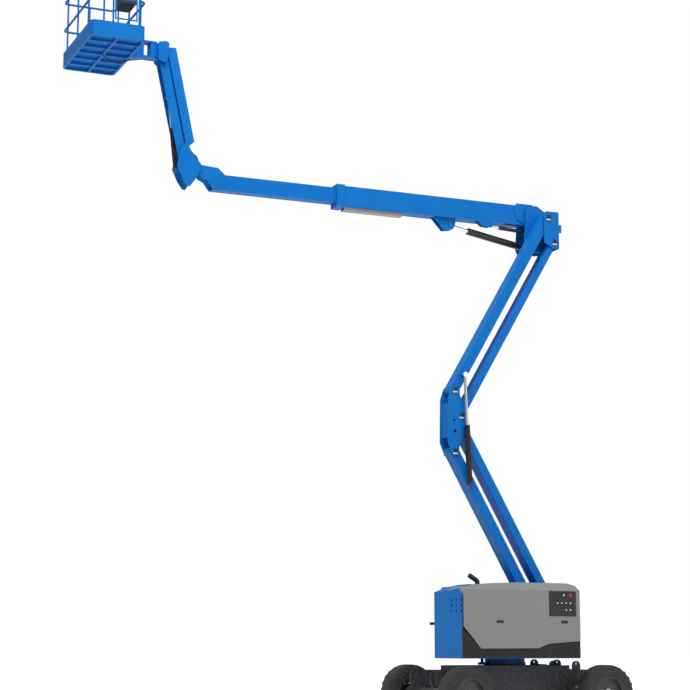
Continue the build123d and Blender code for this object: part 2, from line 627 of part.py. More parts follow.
# Exhaust pipe with its bend, on the flat top of the near housing
EXHAUST_FOOT = (700.0, 400.0)
EXHAUST_RISE = 60.0
EXHAUST_END = (150.0, 90.0)
EXHAUST_RADIUS = 40.0
EXHAUST_BEND = 55.0
with BuildPart() as exhaust_pipe:
    with BuildLine(Plane(origin=(EXHAUST_FOOT[0], EXHAUST_FOOT[1], HOUSING_FLAT), x_dir=(1, 0, 0), z_dir=(0, -1, 0))):
        FilletPolyline((0, 0), (0, EXHAUST_RISE), (EXHAUST_END[0], EXHAUST_RISE + EXHAUST_END[1]), radius=EXHAUST_BEND)
    with BuildSketch(Plane.XY.offset(HOUSING_FLAT)):
        with Locations(EXHAUST_FOOT):
            Circle(EXHAUST_RADIUS)
    sweep()
exhaust_pipe.part.label = "exhaust_pipe"
export_step(exhaust_pipe.part, "parts/exhaust_pipe.step")

# Riser arms and levelling links: box tubes with a pin boss at each end
LOWER_LINK_DEPTH = 140.0
BOSS_GAP = 30.0
RISER_MEMBERS = (
    ("lower_arm", LOWER_BASE, LOWER_ANGLE, LOWER_LENGTH, RISER_DEPTH, RISER_HUB, RISER_WALL),
    ("lower_link", LOWER_LINK_BASE, LOWER_ANGLE, LOWER_LENGTH, LOWER_LINK_DEPTH, LINK_HUB, LINK_WALL),
    ("upper_arm", UPPER_BASE, UPPER_ANGLE, UPPER_LENGTH, RISER_DEPTH, RISER_HUB, RISER_WALL),
    ("upper_link", UPPER_LINK_BASE, UPPER_ANGLE, UPPER_LENGTH, LINK_DEPTH, LINK_HUB, LINK_WALL),
)
RISER_BARREL_PIN = along(LOWER_TIP, LOWER_ANGLE, -RISER_BARREL_BACK, RISER_BARREL_SIDE)
RISER_ROD_PIN = along(UPPER_BASE, UPPER_ANGLE, RISER_ROD_OUT)
RISER_STUBS = {"lower_arm": RISER_BARREL_PIN, "upper_arm": RISER_ROD_PIN}
STUB_BOSS = 38.0
STUB_SEAT = RISER_CYL_Y - RISER_EYE_WIDTH / 2 - PAD_CLEAR
STUB_END = RISER_CYL_Y + RISER_EYE_WIDTH / 2 + PIN_HEAD
for member_name, base, angle, length, depth, hub, wall in RISER_MEMBERS:
    with BuildPart() as member:
        with BuildSketch(Plane.XZ.offset(-RISER_HALF)):
            with Locations(along(base, angle, length / 2)):
                Rectangle(length, depth, rotation=angle)
            with Locations(base, along(base, angle, length)):
                Circle(hub)
        extrude(amount=2 * RISER_HALF)
        with BuildSketch(Plane.XZ.offset(wall - RISER_HALF)):
            with Locations(along(base, angle, length / 2)):
                Rectangle(length - 2 * hub - 2 * BOSS_GAP, depth - 2 * wall, rotation=angle)
        extrude(amount=2 * (RISER_HALF - wall), mode=Mode.SUBTRACT)
        with BuildSketch(Plane.XZ.offset(-RISER_HALF)):
            with Locations(base, along(base, angle, length)):
                Circle(PIN_RADIUS + PIN_CLEAR)
        extrude(amount=2 * RISER_HALF, mode=Mode.SUBTRACT)
        if member_name in RISER_STUBS:
            with BuildSketch(Plane.XZ.offset(-STUB_SEAT)):
                with Locations(RISER_STUBS[member_name]):
                    Circle(STUB_BOSS)
            extrude(amount=STUB_SEAT - RISER_HALF)
            if member_name == "lower_arm":
                with BuildSketch(Plane.XZ.offset(-STUB_END)):
                    with Locations(RISER_STUBS[member_name]):
                        Circle(RISER_PIN_RADIUS)
                extrude(amount=STUB_END - STUB_SEAT)
    member.part.label = member_name
    export_step(member.part, "parts/" + member_name + ".step")

# Middle knuckle: two plates, a front web, two cross tubes and the four riser pins
KNUCKLE_FRONT = 140.0
KNUCKLE_EDGE = 78.0
KNUCKLE_BACK = 62.0
WEB_INSET = 30.0
KNUCKLE_WEB = 12.0
WEB_END = 230.0
KNUCKLE_TUBE_WALL = 6.0
CROSS_TUBES = ((-30.0, 0.5, 24.0), (-20.0, 0.68, 34.0))
with BuildPart() as riser_knuckle:
    for side in (-1, 1):
        with BuildSketch(Plane.XZ.offset(-side * (PLATE_INNER + PLATE_OUTER) / 2 - PLATE / 2)):
            Polygon(
                (UPPER_BASE[0] + KNUCKLE_FRONT, UPPER_BASE[1] - 2 * KNUCKLE_EDGE),
                (UPPER_BASE[0] + KNUCKLE_EDGE, UPPER_BASE[1] + KNUCKLE_BACK / 2),
                (UPPER_BASE[0] + KNUCKLE_BACK / 2, UPPER_BASE[1] + KNUCKLE_EDGE),
                (UPPER_BASE[0] - KNUCKLE_EDGE, UPPER_BASE[1] + KNUCKLE_BACK / 2),
                (UPPER_BASE[0] - KNUCKLE_EDGE, UPPER_BASE[1] - KNUCKLE_EDGE),
                (UPPER_LINK_BASE[0] - KNUCKLE_BACK, UPPER_LINK_BASE[1] + KNUCKLE_EDGE),
                (LOWER_LINK_TIP[0] - KNUCKLE_BACK, LOWER_LINK_TIP[1] - KNUCKLE_EDGE),
                (LOWER_TIP[0] - KNUCKLE_EDGE, LOWER_TIP[1] + KNUCKLE_EDGE),
                (LOWER_TIP[0] - KNUCKLE_BACK, LOWER_TIP[1] - KNUCKLE_EDGE),
                (LOWER_TIP[0] + KNUCKLE_BACK / 2, LOWER_TIP[1] - KNUCKLE_EDGE),
                (LOWER_TIP[0] + KNUCKLE_EDGE, LOWER_TIP[1]),
                (LOWER_TIP[0] + KNUCKLE_FRONT, LOWER_TIP[1] + 2 * KNUCKLE_EDGE),
                align=None,
            )
        extrude(amount=PLATE)
    with BuildSketch(Plane.XZ.offset(-PLATE_INNER)):
        with Locations((LOWER_TIP[0] + KNUCKLE_FRONT - WEB_INSET, (LOWER_TIP[1] + UPPER_BASE[1]) / 2)):
            Rectangle(KNUCKLE_WEB, UPPER_BASE[1] - LOWER_TIP[1] - 2 * WEB_END)
        for tube_x, share, tube_radius in CROSS_TUBES:
            with Locations((UPPER_BASE[0] - tube_x, UPPER_BASE[1] + share * (LOWER_TIP[1] - UPPER_BASE[1]))):
                Circle(tube_radius)
    extrude(amount=2 * PLATE_INNER)
    with BuildSketch(Plane.XZ.offset(-PLATE_OUTER)):
        for tube_x, share, tube_radius in CROSS_TUBES:
            with Locations((UPPER_BASE[0] - tube_x, UPPER_BASE[1] + share * (LOWER_TIP[1] - UPPER_BASE[1]))):
                Circle(tube_radius - KNUCKLE_TUBE_WALL)
    extrude(amount=2 * PLATE_OUTER, mode=Mode.SUBTRACT)
    for pin in (LOWER_TIP, LOWER_LINK_TIP, UPPER_BASE, UPPER_LINK_BASE):
        with BuildSketch(Plane.XZ.offset(-PLATE_OUTER)):
            with Locations(pin):
                Circle(PIN_RADIUS)
        extrude(amount=2 * PLATE_OUTER)
        with BuildSketch(Plane.XZ.offset(-PLATE_OUTER), Plane.XZ.offset(PLATE_OUTER + PIN_HEAD)):
            with Locations(pin):
                Circle(PIN_HEAD_RADIUS)
        extrude(amount=-PIN_HEAD)
riser_knuckle.part.label = "riser_knuckle"
export_step(riser_knuckle.part, "parts/riser_knuckle.step")


def axis_plane(start, end, y, distance=0.0):
    run = ((end[0] - start[0]) ** 2 + (end[1] - start[1]) ** 2) ** 0.5
    unit = ((end[0] - start[0]) / run, (end[1] - start[1]) / run)
    return Plane(
        origin=(start[0] + distance * unit[0], y, start[1] + distance * unit[1]),
        x_dir=(0, 1, 0),
        z_dir=(unit[0], 0, unit[1]),
    )


def span(start, end):
    return ((end[0] - start[0]) ** 2 + (end[1] - start[1]) ** 2) ** 0.5


# Hydraulic cylinders of the linkages: a barrel with its eye, and a rod with its eye
JIB_LINK_BASE = moved(JIB_BASE, JIB_LINK_SHIFT)
JIB_LENGTH = span((0.0, 0.0), JIB_VECTOR)
JIB_UNIT = (JIB_VECTOR[0] / JIB_LENGTH, JIB_VECTOR[1] / JIB_LENGTH)
JIB_ROD_OUT = 1100.0
JIB_ROD_SIDE = 10.0
JIB_CYL_BASE = (5719.0, 8759.0)
JIB_CYL_EYE = (
    JIB_LINK_BASE[0] + JIB_ROD_OUT * JIB_UNIT[0] + JIB_ROD_SIDE * JIB_UNIT[1],
    JIB_LINK_BASE[1] + JIB_ROD_OUT * JIB_UNIT[1] - JIB_ROD_SIDE * JIB_UNIT[0],
)
JIB_BARREL_LENGTH = 700.0
JIB_BARREL_RADIUS = 35.0
JIB_ROD_RADIUS = 18.0
JIB_ROD_INSIDE = 130.0
JIB_CYL_PIN = 15.0
JIB_EYE_WIDTH = 60.0
GLAND = 40.0
BARREL_WALL = 7.0
BARREL_END = 30.0
EYE_RING = 22.0
CYLINDERS = (
    ("riser", RISER_BARREL_PIN, RISER_ROD_PIN, RISER_CYL_Y, RISER_BARREL_RADIUS, RISER_ROD_RADIUS,
     RISER_BARREL_LENGTH, RISER_ROD_INSIDE, RISER_PIN_RADIUS, RISER_EYE_WIDTH),
    ("lift", LIFT_BASE, LIFT_EYE, BOOM_Y, LIFT_BARREL_RADIUS, LIFT_ROD_RADIUS,
     LIFT_BARREL_LENGTH, LIFT_ROD_INSIDE, LIFT_PIN_RADIUS, LIFT_EYE_WIDTH),
    ("master", MASTER_BASE, MASTER_EYE, MASTER_Y, MASTER_BARREL_RADIUS, MASTER_ROD_RADIUS,
     MASTER_BARREL_LENGTH, MASTER_ROD_INSIDE, MASTER_PIN_RADIUS, MASTER_EYE_WIDTH),
    ("jib", JIB_CYL_BASE, JIB_CYL_EYE, BOOM_Y, JIB_BARREL_RADIUS, JIB_ROD_RADIUS,
     JIB_BARREL_LENGTH, JIB_ROD_INSIDE, JIB_CYL_PIN, JIB_EYE_WIDTH),
)
for cyl_name, back, front, cyl_y, barrel_radius, rod_radius, barrel_length, inside, pin_radius, eye in CYLINDERS:
    slope = degrees(atan2(front[1] - back[1], front[0] - back[0]))
    eye_radius = pin_radius + EYE_RING
    neck = eye_radius + BARREL_END
    rest_length = span(back, front)
    with BuildPart() as barrel:
        with BuildSketch(axis_plane(back, front, cyl_y, neck - BARREL_END / 2)):
            Circle(barrel_radius)
        extrude(amount=barrel_length - neck + BARREL_END / 2)
        with BuildSketch(Plane.XZ.offset(-cyl_y - eye / 2)):
            with Locations(back):
                Circle(eye_radius)
            with Locations(along(back, slope, neck / 2)):
                Rectangle(neck, 2 * pin_radius, rotation=slope)
        extrude(amount=eye)
        with BuildSketch(axis_plane(back, front, cyl_y, neck + BARREL_END)):
            Circle(barrel_radius - BARREL_WALL)
        extrude(amount=barrel_length - neck - BARREL_END - GLAND, mode=Mode.SUBTRACT)
        with BuildSketch(axis_plane(back, front, cyl_y, neck + BARREL_END)):
            Circle(rod_radius + PIN_CLEAR)
        extrude(amount=barrel_length - neck - BARREL_END, mode=Mode.SUBTRACT)
        with BuildSketch(Plane.XZ.offset(-cyl_y - eye / 2)):
            with Locations(back):
                Circle(pin_radius + PIN_CLEAR)
        extrude(amount=eye, mode=Mode.SUBTRACT)
    barrel.part.label = cyl_name + "_barrel"
    export_step(barrel.part, "parts/" + cyl_name + "_barrel.step")
    with BuildPart() as rod:
        with BuildSketch(axis_plane(front, back, cyl_y)):
            Circle(rod_radius)
        extrude(amount=rest_length - barrel_length + inside)
        with BuildSketch(Plane.XZ.offset(-cyl_y - eye / 2)):
            with Locations(front):
                Circle(eye_radius)
        extrude(amount=eye)
    rod.part.label = cyl_name + "_rod"
    export_step(rod.part, "parts/" + cyl_name + "_rod.step")

# Upright: level post with cheeks for the riser and a cradle for the boom on the right
UPRIGHT_REAR = WEB_FRONT - WEB
CRADLE_OUTER = BOOM_Y - CHEEK_INNER - PLATE
CRADLE_LINE = ((-860.0, 8790.0), (-700.0, 8790.0), (-640.0, 8700.0), (-620.0, 8300.0), (-600.0, 8060.0),
               (-640.0, 7960.0), (-760.0, 7960.0))
CHEEK_LINE = ((-870.0, 8640.0), (-830.0, 8590.0), (-830.0, 8080.0), (-1000.0, 7985.0))
TAB = (50.0, 140.0, 8350.0)
with BuildPart() as upright:
    with BuildSketch(Plane.XZ.offset(-PLATE_OUTER)):
        Polygon((WEB_FRONT, UPRIGHT_BOTTOM), (WEB_FRONT, UPRIGHT_TOP), *CHEEK_LINE, align=None)
    extrude(amount=PLATE)
    with BuildSketch(Plane.XZ.offset(PLATE_INNER)):
        Polygon((WEB_FRONT, UPRIGHT_BOTTOM), (WEB_FRONT, UPRIGHT_TOP), *CRADLE_LINE, align=None)
    extrude(amount=-BOOM_Y - CHEEK_INNER - PLATE_INNER)
    with BuildSketch(Plane.XZ.offset(CHEEK_INNER - BOOM_Y)):
        Polygon((WEB_FRONT, UPRIGHT_BOTTOM), (WEB_FRONT, UPRIGHT_TOP), *CRADLE_LINE, align=None)
    extrude(amount=PLATE)
    with BuildSketch(Plane.YZ.offset(UPRIGHT_REAR)):
        with Locations(((PLATE_OUTER + CRADLE_OUTER) / 2, (UPRIGHT_TOP + UPRIGHT_BOTTOM) / 2)):
            Rectangle(PLATE_OUTER - CRADLE_OUTER, UPRIGHT_TOP - UPRIGHT_BOTTOM)
    extrude(amount=WEB)
    with Locations((UPRIGHT_REAR - TAB[0] / 2, PLATE_OUTER - PLATE, TAB[2])):
        Box(TAB[0], 2 * PLATE, TAB[1])
    for pin in (UPPER_TIP, UPPER_LINK_TIP):
        with BuildSketch(Plane.XZ.offset(-PLATE_OUTER)):
            with Locations(pin):
                Circle(PIN_RADIUS)
        extrude(amount=2 * PLATE_OUTER)
        with BuildSketch(Plane.XZ.offset(-PLATE_OUTER)):
            with Locations(pin):
                Circle(PIN_HEAD_RADIUS)
        extrude(amount=-PIN_HEAD)
    for pin, pin_radius in ((BOOM_PIVOT, BOOM_PIN_RADIUS), (LIFT_BASE, LIFT_PIN_RADIUS), (MASTER_BASE, MASTER_PIN_RADIUS)):
        with BuildSketch(Plane.XZ.offset(-BOOM_Y - CHEEK_INNER)):
            with Locations(pin):
                Circle(pin_radius)
        extrude(amount=2 * CHEEK_INNER)
        with BuildSketch(Plane.XZ.offset(-CRADLE_OUTER)):
            with Locations(pin):
                Circle(pin_radius + PIN_HEAD)
        extrude(amount=PIN_HEAD)
upright.part.label = "upright"
export_step(upright.part, "parts/upright.step")

# Primary boom outer tube with tail cheeks, pivot sleeve, front collar, pads and two lugs
BOOM_REAR = -650.0
TAIL_LINE = ((-880.0, 8615.0), (-912.0, 8665.0), (-790.0, 8822.0), (-480.0, 8822.0), (-425.0, 8715.0),
             (-480.0, 8540.0), (-650.0, 8450.0), (-760.0, 8480.0))
TAIL_OUTER = BOOM_HALF + TAIL_PLATE
SLEEVE_RADIUS = 60.0
LIFT_LUG = ((1105.0, 8440.0), (905.0, 8225.0), (740.0, 8250.0), (690.0, 8330.0), (680.0, 8440.0))
MASTER_LUG = ((300.0, 8440.0), (200.0, 8355.0), (30.0, 8342.0), (-5.0, 8356.0), (-15.0, 8440.0))
BOOM_BELLY = BOOM_Z - BOOM_DEPTH / 2
BELLY_SLOT_END = -250.0
BELLY_SLOT_HALF = MASTER_BARREL_RADIUS + 5.0
with BuildPart() as boom_tube:
    with BuildSketch(Plane.YZ.offset(BOOM_REAR)):
        with Locations((BOOM_Y, BOOM_Z)):
            Rectangle(2 * BOOM_HALF, BOOM_DEPTH)
    extrude(amount=BOOM_FRONT - BOOM_REAR)
    with BuildSketch(Plane.YZ.offset(COLLAR_REAR)):
        with Locations((BOOM_Y, BOOM_Z)):
            Rectangle(2 * (BOOM_HALF + COLLAR_WALL), BOOM_DEPTH + 2 * COLLAR_WALL)
    extrude(amount=BOOM_FRONT - COLLAR_REAR)
    with BuildSketch(Plane.YZ.offset(BOOM_REAR)):
        with Locations((BOOM_Y, BOOM_Z)):
            Rectangle(2 * (BOOM_HALF - BOOM_WALL), BOOM_DEPTH - 2 * BOOM_WALL)
    extrude(amount=BOOM_FRONT - BOOM_REAR, mode=Mode.SUBTRACT)
    with BuildSketch(Plane.YZ.offset(BOOM_FRONT - PAD_LENGTH)):
        with Locations((BOOM_Y, BOOM_Z)):
            Rectangle(2 * (BOOM_HALF - BOOM_WALL), BOOM_DEPTH - 2 * BOOM_WALL)
        with Locations((BOOM_Y, EXT_Z)):
            Rectangle(2 * (EXT_HALF + PAD_CLEAR), EXT_DEPTH + 2 * PAD_CLEAR, mode=Mode.SUBTRACT)
    extrude(amount=PAD_LENGTH)
    for inner in (BOOM_HALF, -TAIL_OUTER):
        with BuildSketch(Plane.XZ.offset(-BOOM_Y + inner)):
            Polygon(*TAIL_LINE, align=None)
        extrude(amount=TAIL_PLATE)
    with BuildSketch(Plane.XZ.offset(-BOOM_Y - BOOM_HALF)):
        with Locations(BOOM_PIVOT):
            Circle(SLEEVE_RADIUS)
    extrude(amount=2 * BOOM_HALF)
    with BuildSketch(Plane.XZ.offset(-BOOM_Y - TAIL_OUTER)):
        with Locations(BOOM_PIVOT):
            Circle(BOOM_PIN_RADIUS + PIN_CLEAR)
    extrude(amount=2 * TAIL_OUTER, mode=Mode.SUBTRACT)
    for lug_line, pin, pin_radius, eye, lug_y in (
        (LIFT_LUG, LIFT_EYE, LIFT_PIN_RADIUS, LIFT_EYE_WIDTH, BOOM_Y),
        (MASTER_LUG, MASTER_EYE, MASTER_PIN_RADIUS, MASTER_EYE_WIDTH, MASTER_Y),
    ):
        for inner in (eye / 2 + LUG_CLEAR, -eye / 2 - LUG_CLEAR - LUG_PLATE):
            with BuildSketch(Plane.XZ.offset(-lug_y + inner)):
                Polygon(*lug_line, align=None)
            extrude(amount=LUG_PLATE)
        for start in (-eye / 2 - LUG_CLEAR - LUG_PLATE - PIN_HEAD, eye / 2 + LUG_CLEAR):
            with BuildSketch(Plane.XZ.offset(-lug_y + start)):
                with Locations(pin):
                    Circle(pin_radius)
            extrude(amount=LUG_PLATE + PIN_HEAD)
    with BuildSketch(Plane.XY.offset(BOOM_BELLY - BOOM_WALL)):
        with Locations(((BOOM_REAR + BELLY_SLOT_END) / 2, MASTER_Y)):
            Rectangle(BELLY_SLOT_END - BOOM_REAR, 2 * BELLY_SLOT_HALF)
    extrude(amount=3 * BOOM_WALL, mode=Mode.SUBTRACT)
boom_tube.part.label = "boom_tube"
export_step(boom_tube.part, "parts/boom_tube.step")

# Hose tray under the boom tube, an open channel
TRAY = (1690.0, 2780.0)
TRAY_WIDTH = 150.0
TRAY_DEPTH = 55.0
TRAY_WALL = 4.0
BOOM_BELLY = BOOM_Z - BOOM_DEPTH / 2
with BuildPart() as hose_tray:
    with BuildSketch(Plane.YZ.offset(TRAY[0])):
        with Locations((BOOM_Y, BOOM_BELLY - TRAY_DEPTH / 2)):
            Rectangle(TRAY_WIDTH, TRAY_DEPTH)
            Rectangle(TRAY_WIDTH - 2 * TRAY_WALL, TRAY_DEPTH - 2 * TRAY_WALL, mode=Mode.SUBTRACT)
    extrude(amount=TRAY[1] - TRAY[0])
hose_tray.part.label = "hose_tray"
export_step(hose_tray.part, "parts/hose_tray.step")

# Extension tube with head cheeks and rear pads
HEAD_LINE = ((4905.0, 8745.0), (5029.0, 8853.0), (5337.0, 8874.0), (5400.0, 8864.0), (5418.0, 8824.0),
             (5400.0, 8785.0), (5310.0, 8674.0), (5220.0, 8634.0), (5115.0, 8495.0), (4905.0, 8495.0))
HEAD_OUTER = EXT_HALF + HEAD_PLATE
HEAD_SLEEVE = 44.0
BELL_INNER = JIB_HALF + SIDE_CLEAR
with BuildPart() as extension_tube:
    with BuildSketch(Plane.YZ.offset(EXT_REAR)):
        with Locations((BOOM_Y, EXT_Z)):
            Rectangle(2 * EXT_HALF, EXT_DEPTH)
            Rectangle(2 * (EXT_HALF - EXT_WALL), EXT_DEPTH - 2 * EXT_WALL, mode=Mode.SUBTRACT)
    extrude(amount=EXT_FRONT - EXT_REAR)
    with BuildSketch(Plane.YZ.offset(EXT_REAR)):
        with Locations((BOOM_Y, BOOM_Z)):
            Rectangle(2 * (BOOM_HALF - BOOM_WALL - PAD_CLEAR), BOOM_DEPTH - 2 * BOOM_WALL - 2 * PAD_CLEAR)
        with Locations((BOOM_Y, EXT_Z)):
            Rectangle(2 * EXT_HALF, EXT_DEPTH, mode=Mode.SUBTRACT)
    extrude(amount=PAD_LENGTH)
    for inner in (EXT_HALF, -HEAD_OUTER):
        with BuildSketch(Plane.XZ.offset(-BOOM_Y + inner)):
            Polygon(*HEAD_LINE, align=None)
        extrude(amount=HEAD_PLATE)
    with BuildSketch(Plane.XZ.offset(-BOOM_Y - BELL_INNER + PIN_HEAD)):
        with Locations(TIP_PIN):
            Circle(HEAD_SLEEVE)
    extrude(amount=2 * (BELL_INNER - PIN_HEAD))
    with BuildSketch(Plane.XZ.offset(-BOOM_Y - BELL_INNER)):
        with Locations(TIP_PIN):
            Circle(TIP_PIN_RADIUS + PIN_CLEAR)
    extrude(amount=2 * BELL_INNER, mode=Mode.SUBTRACT)
extension_tube.part.label = "extension_tube"
export_step(extension_tube.part, "parts/extension_tube.step")

# Bellcrank at the boom tip: two plates, a cross tube, the tip pin and the seat of the jib cylinder
JIB_HEAD_PIN = moved(JIB_BASE, JIB_VECTOR)
JIB_HEAD_LINK_PIN = moved(JIB_HEAD_PIN, JIB_LINK_SHIFT)
JIB_ANGLE = degrees(atan2(JIB_VECTOR[1], JIB_VECTOR[0]))
BELL_LINE = ((5545.0, 9185.0), (5640.0, 9185.0), (5700.0, 9000.0), (5735.0, 8800.0), (5640.0, 8600.0),
             (5560.0, 8490.0), (5510.0, 8490.0), (5400.0, 8650.0), (5325.0, 8800.0), (5330.0, 8870.0), (5520.0, 9110.0))
BELL_OUTER = BELL_INNER + BELL_PLATE
BELL_TUBE = (5545.0, 8600.0)
BELL_TUBE_RADIUS = 40.0
LUG_SIDE = 98.0
LINK_HALF = 90.0
FLANGE = 10.0
SEAT_PLATE = 12.0
with BuildPart() as bellcrank:
    for inner in (BELL_INNER, -BELL_OUTER):
        with BuildSketch(Plane.XZ.offset(-BOOM_Y + inner)):
            Polygon(*BELL_LINE, align=None)
        extrude(amount=BELL_PLATE)
    for pin, pin_radius in ((BELL_TUBE, BELL_TUBE_RADIUS), (TIP_PIN, TIP_PIN_RADIUS)):
        with BuildSketch(Plane.XZ.offset(-BOOM_Y - BELL_OUTER)):
            with Locations(pin):
                Circle(pin_radius)
        extrude(amount=2 * BELL_OUTER)
    for pin, depth in ((JIB_BASE, BELL_OUTER - LUG_SIDE + PIN_CLEAR), (JIB_LINK_BASE, BELL_OUTER - LINK_HALF + FLANGE)):
        for start in (-BELL_OUTER, BELL_OUTER - depth):
            with BuildSketch(Plane.XZ.offset(-BOOM_Y + start)):
                with Locations(pin):
                    Circle(JIB_PIN_RADIUS)
            extrude(amount=depth)
    for inner in (JIB_EYE_WIDTH / 2 + LUG_CLEAR, -JIB_EYE_WIDTH / 2 - LUG_CLEAR - SEAT_PLATE):
        with BuildSketch(Plane.XZ.offset(-BOOM_Y + inner)):
            with Locations(BELL_TUBE):
                Circle(BELL_TUBE_RADIUS + FLANGE)
            with Locations(JIB_CYL_BASE):
                Circle(2 * JIB_CYL_PIN)
            make_hull()
        extrude(amount=SEAT_PLATE)
    with BuildSketch(Plane.XZ.offset(-BOOM_Y - JIB_EYE_WIDTH / 2 - LUG_CLEAR - SEAT_PLATE)):
        with Locations(JIB_CYL_BASE):
            Circle(JIB_CYL_PIN)
    extrude(amount=JIB_EYE_WIDTH + 2 * LUG_CLEAR + 2 * SEAT_PLATE)
bellcrank.part.label = "bellcrank"
export_step(bellcrank.part, "parts/bellcrank.step")

# Jib arm: box tube behind the pin line with forked ends, drawn along the pin line
JIB_NEAR = 10.0
JIB_FAR = JIB_NEAR + JIB_DEPTH
JIB_FOOT = 75.0
JIB_CUT = 60.0
JIB_LUG_RADIUS = 42.0
jib_plane = Plane(origin=(JIB_BASE[0], BOOM_Y, JIB_BASE[1]), x_dir=(JIB_UNIT[0], 0, JIB_UNIT[1]), z_dir=(0, -1, 0))
with BuildPart() as jib_arm:
    with BuildSketch(jib_plane.offset(-JIB_HALF)):
        Polygon(
            (JIB_FOOT / 2, JIB_NEAR),
            (JIB_FOOT, JIB_FAR),
            (JIB_LENGTH - JIB_CUT, JIB_FAR),
            (JIB_LENGTH - JIB_FOOT / 2, JIB_NEAR),
            align=None,
        )
    extrude(amount=2 * JIB_HALF)
    with BuildSketch(jib_plane.offset(-JIB_HALF + JIB_WALL)):
        with Locations((JIB_LENGTH / 2, (JIB_NEAR + JIB_FAR) / 2)):
            Rectangle(JIB_LENGTH - 2 * JIB_FAR, JIB_DEPTH - 2 * JIB_WALL)
    extrude(amount=2 * (JIB_HALF - JIB_WALL), mode=Mode.SUBTRACT)
    for start in (-JIB_HALF, LUG_SIDE):
        with BuildSketch(jib_plane.offset(start)):
            for lug_place, root in ((0.0, 2 * JIB_FOOT), (JIB_LENGTH, JIB_LENGTH - 2 * JIB_FOOT)):
                with BuildSketch(mode=Mode.PRIVATE) as lug_shape:
                    with Locations((lug_place, 0)):
                        Circle(JIB_LUG_RADIUS)
                    with Locations(((lug_place + root) / 2, JIB_LUG_RADIUS)):
                        Rectangle(abs(root - lug_place), FLANGE)
                    make_hull()
                add(lug_shape.sketch)
            with Locations((0, 0), (JIB_LENGTH, 0)):
                Circle(JIB_PIN_RADIUS + PIN_CLEAR, mode=Mode.SUBTRACT)
        extrude(amount=JIB_HALF - LUG_SIDE)
jib_arm.part.label = "jib_arm"
export_step(jib_arm.part, "parts/jib_arm.step")

# Jib levelling link: a channel open to the front with the jib cylinder inside
JIB_WEB_START = 250.0
JIB_LINK_HUB = 55.0
link_plane = Plane(origin=(JIB_LINK_BASE[0], BOOM_Y, JIB_LINK_BASE[1]), x_dir=(JIB_UNIT[0], 0, JIB_UNIT[1]),
                   z_dir=(0, -1, 0))
with BuildPart() as jib_link:
    for start in (-LINK_HALF, LINK_HALF - FLANGE):
        with BuildSketch(link_plane.offset(start)):
            with Locations((JIB_LENGTH / 2, 0)):
                Rectangle(JIB_LENGTH - JIB_LINK_HUB, JIB_DEPTH)
            with Locations((0, 0), (JIB_LENGTH, 0)):
                Circle(JIB_LINK_HUB)
                Circle(JIB_PIN_RADIUS + PIN_CLEAR, mode=Mode.SUBTRACT)
        extrude(amount=FLANGE)
    with BuildSketch(link_plane.offset(-LINK_HALF)):
        with Locations((JIB_LENGTH / 2, JIB_DEPTH / 2 - JIB_WALL / 2)):
            Rectangle(JIB_LENGTH - 2 * JIB_WEB_START, JIB_WALL)
    extrude(amount=2 * LINK_HALF)
    for start in (-LINK_HALF - FLANGE, JIB_EYE_WIDTH / 2 + LUG_CLEAR):
        with BuildSketch(link_plane.offset(start)):
            with Locations((JIB_ROD_OUT, -JIB_ROD_SIDE)):
                Circle(JIB_CYL_PIN)
        extrude(amount=LINK_HALF + FLANGE - JIB_EYE_WIDTH / 2 - LUG_CLEAR)
jib_link.part.label = "jib_link"
export_step(jib_link.part, "parts/jib_link.step")

# Jib head: level plates, cross block and the fixed middle of the platform rotator
ROTATOR_X = 6150.0
ROTATOR_RADIUS = 82.0
ROTATOR_BOTTOM = 10610.0
ROTATOR_TOP = 10830.0
HEAD_BLOCK_X = 6078.0
HEAD_PLATE_LINE = ((5905.0, 10780.0), (5905.0, 10850.0), (5960.0, 10875.0), (6078.0, 10850.0), (6078.0, 10560.0),
                   (6020.0, 10520.0), (5950.0, 10520.0), (5925.0, 10580.0))
with BuildPart() as jib_head:
    for inner in (BELL_INNER, -BELL_OUTER):
        with BuildSketch(Plane.XZ.offset(-BOOM_Y + inner)):
            Polygon(*HEAD_PLATE_LINE, align=None)
        extrude(amount=BELL_PLATE)
    with Locations(((HEAD_BLOCK_X + ROTATOR_X) / 2, BOOM_Y, (ROTATOR_BOTTOM + ROTATOR_TOP) / 2)):
        Box(ROTATOR_X - HEAD_BLOCK_X, 2 * ROTATOR_RADIUS - FLANGE, ROTATOR_TOP - ROTATOR_BOTTOM)
    with Locations((HEAD_BLOCK_X + FLANGE / 2, BOOM_Y, (ROTATOR_BOTTOM + ROTATOR_TOP) / 2)):
        Box(FLANGE, 2 * BELL_OUTER, ROTATOR_TOP - ROTATOR_BOTTOM)
    with BuildSketch(Plane.XY.offset(ROTATOR_BOTTOM)):
        with Locations((ROTATOR_X, BOOM_Y)):
            Circle(ROTATOR_RADIUS)
    extrude(amount=ROTATOR_TOP - ROTATOR_BOTTOM)
    with BuildSketch(Plane.XY.offset(ROTATOR_BOTTOM)):
        with Locations((ROTATOR_X, BOOM_Y)):
            Circle(KINGPIN_RADIUS + PIN_CLEAR)
    extrude(amount=ROTATOR_TOP - ROTATOR_BOTTOM, mode=Mode.SUBTRACT)
    for pin, depth in ((JIB_HEAD_PIN, BELL_OUTER - LUG_SIDE + PIN_CLEAR),
                       (JIB_HEAD_LINK_PIN, BELL_OUTER - LINK_HALF + FLANGE)):
        for start in (-BELL_OUTER, BELL_OUTER - depth):
            with BuildSketch(Plane.XZ.offset(-BOOM_Y + start)):
                with Locations(pin):
                    Circle(JIB_PIN_RADIUS)
            extrude(amount=depth)
jib_head.part.label = "jib_head"
export_step(jib_head.part, "parts/jib_head.step")

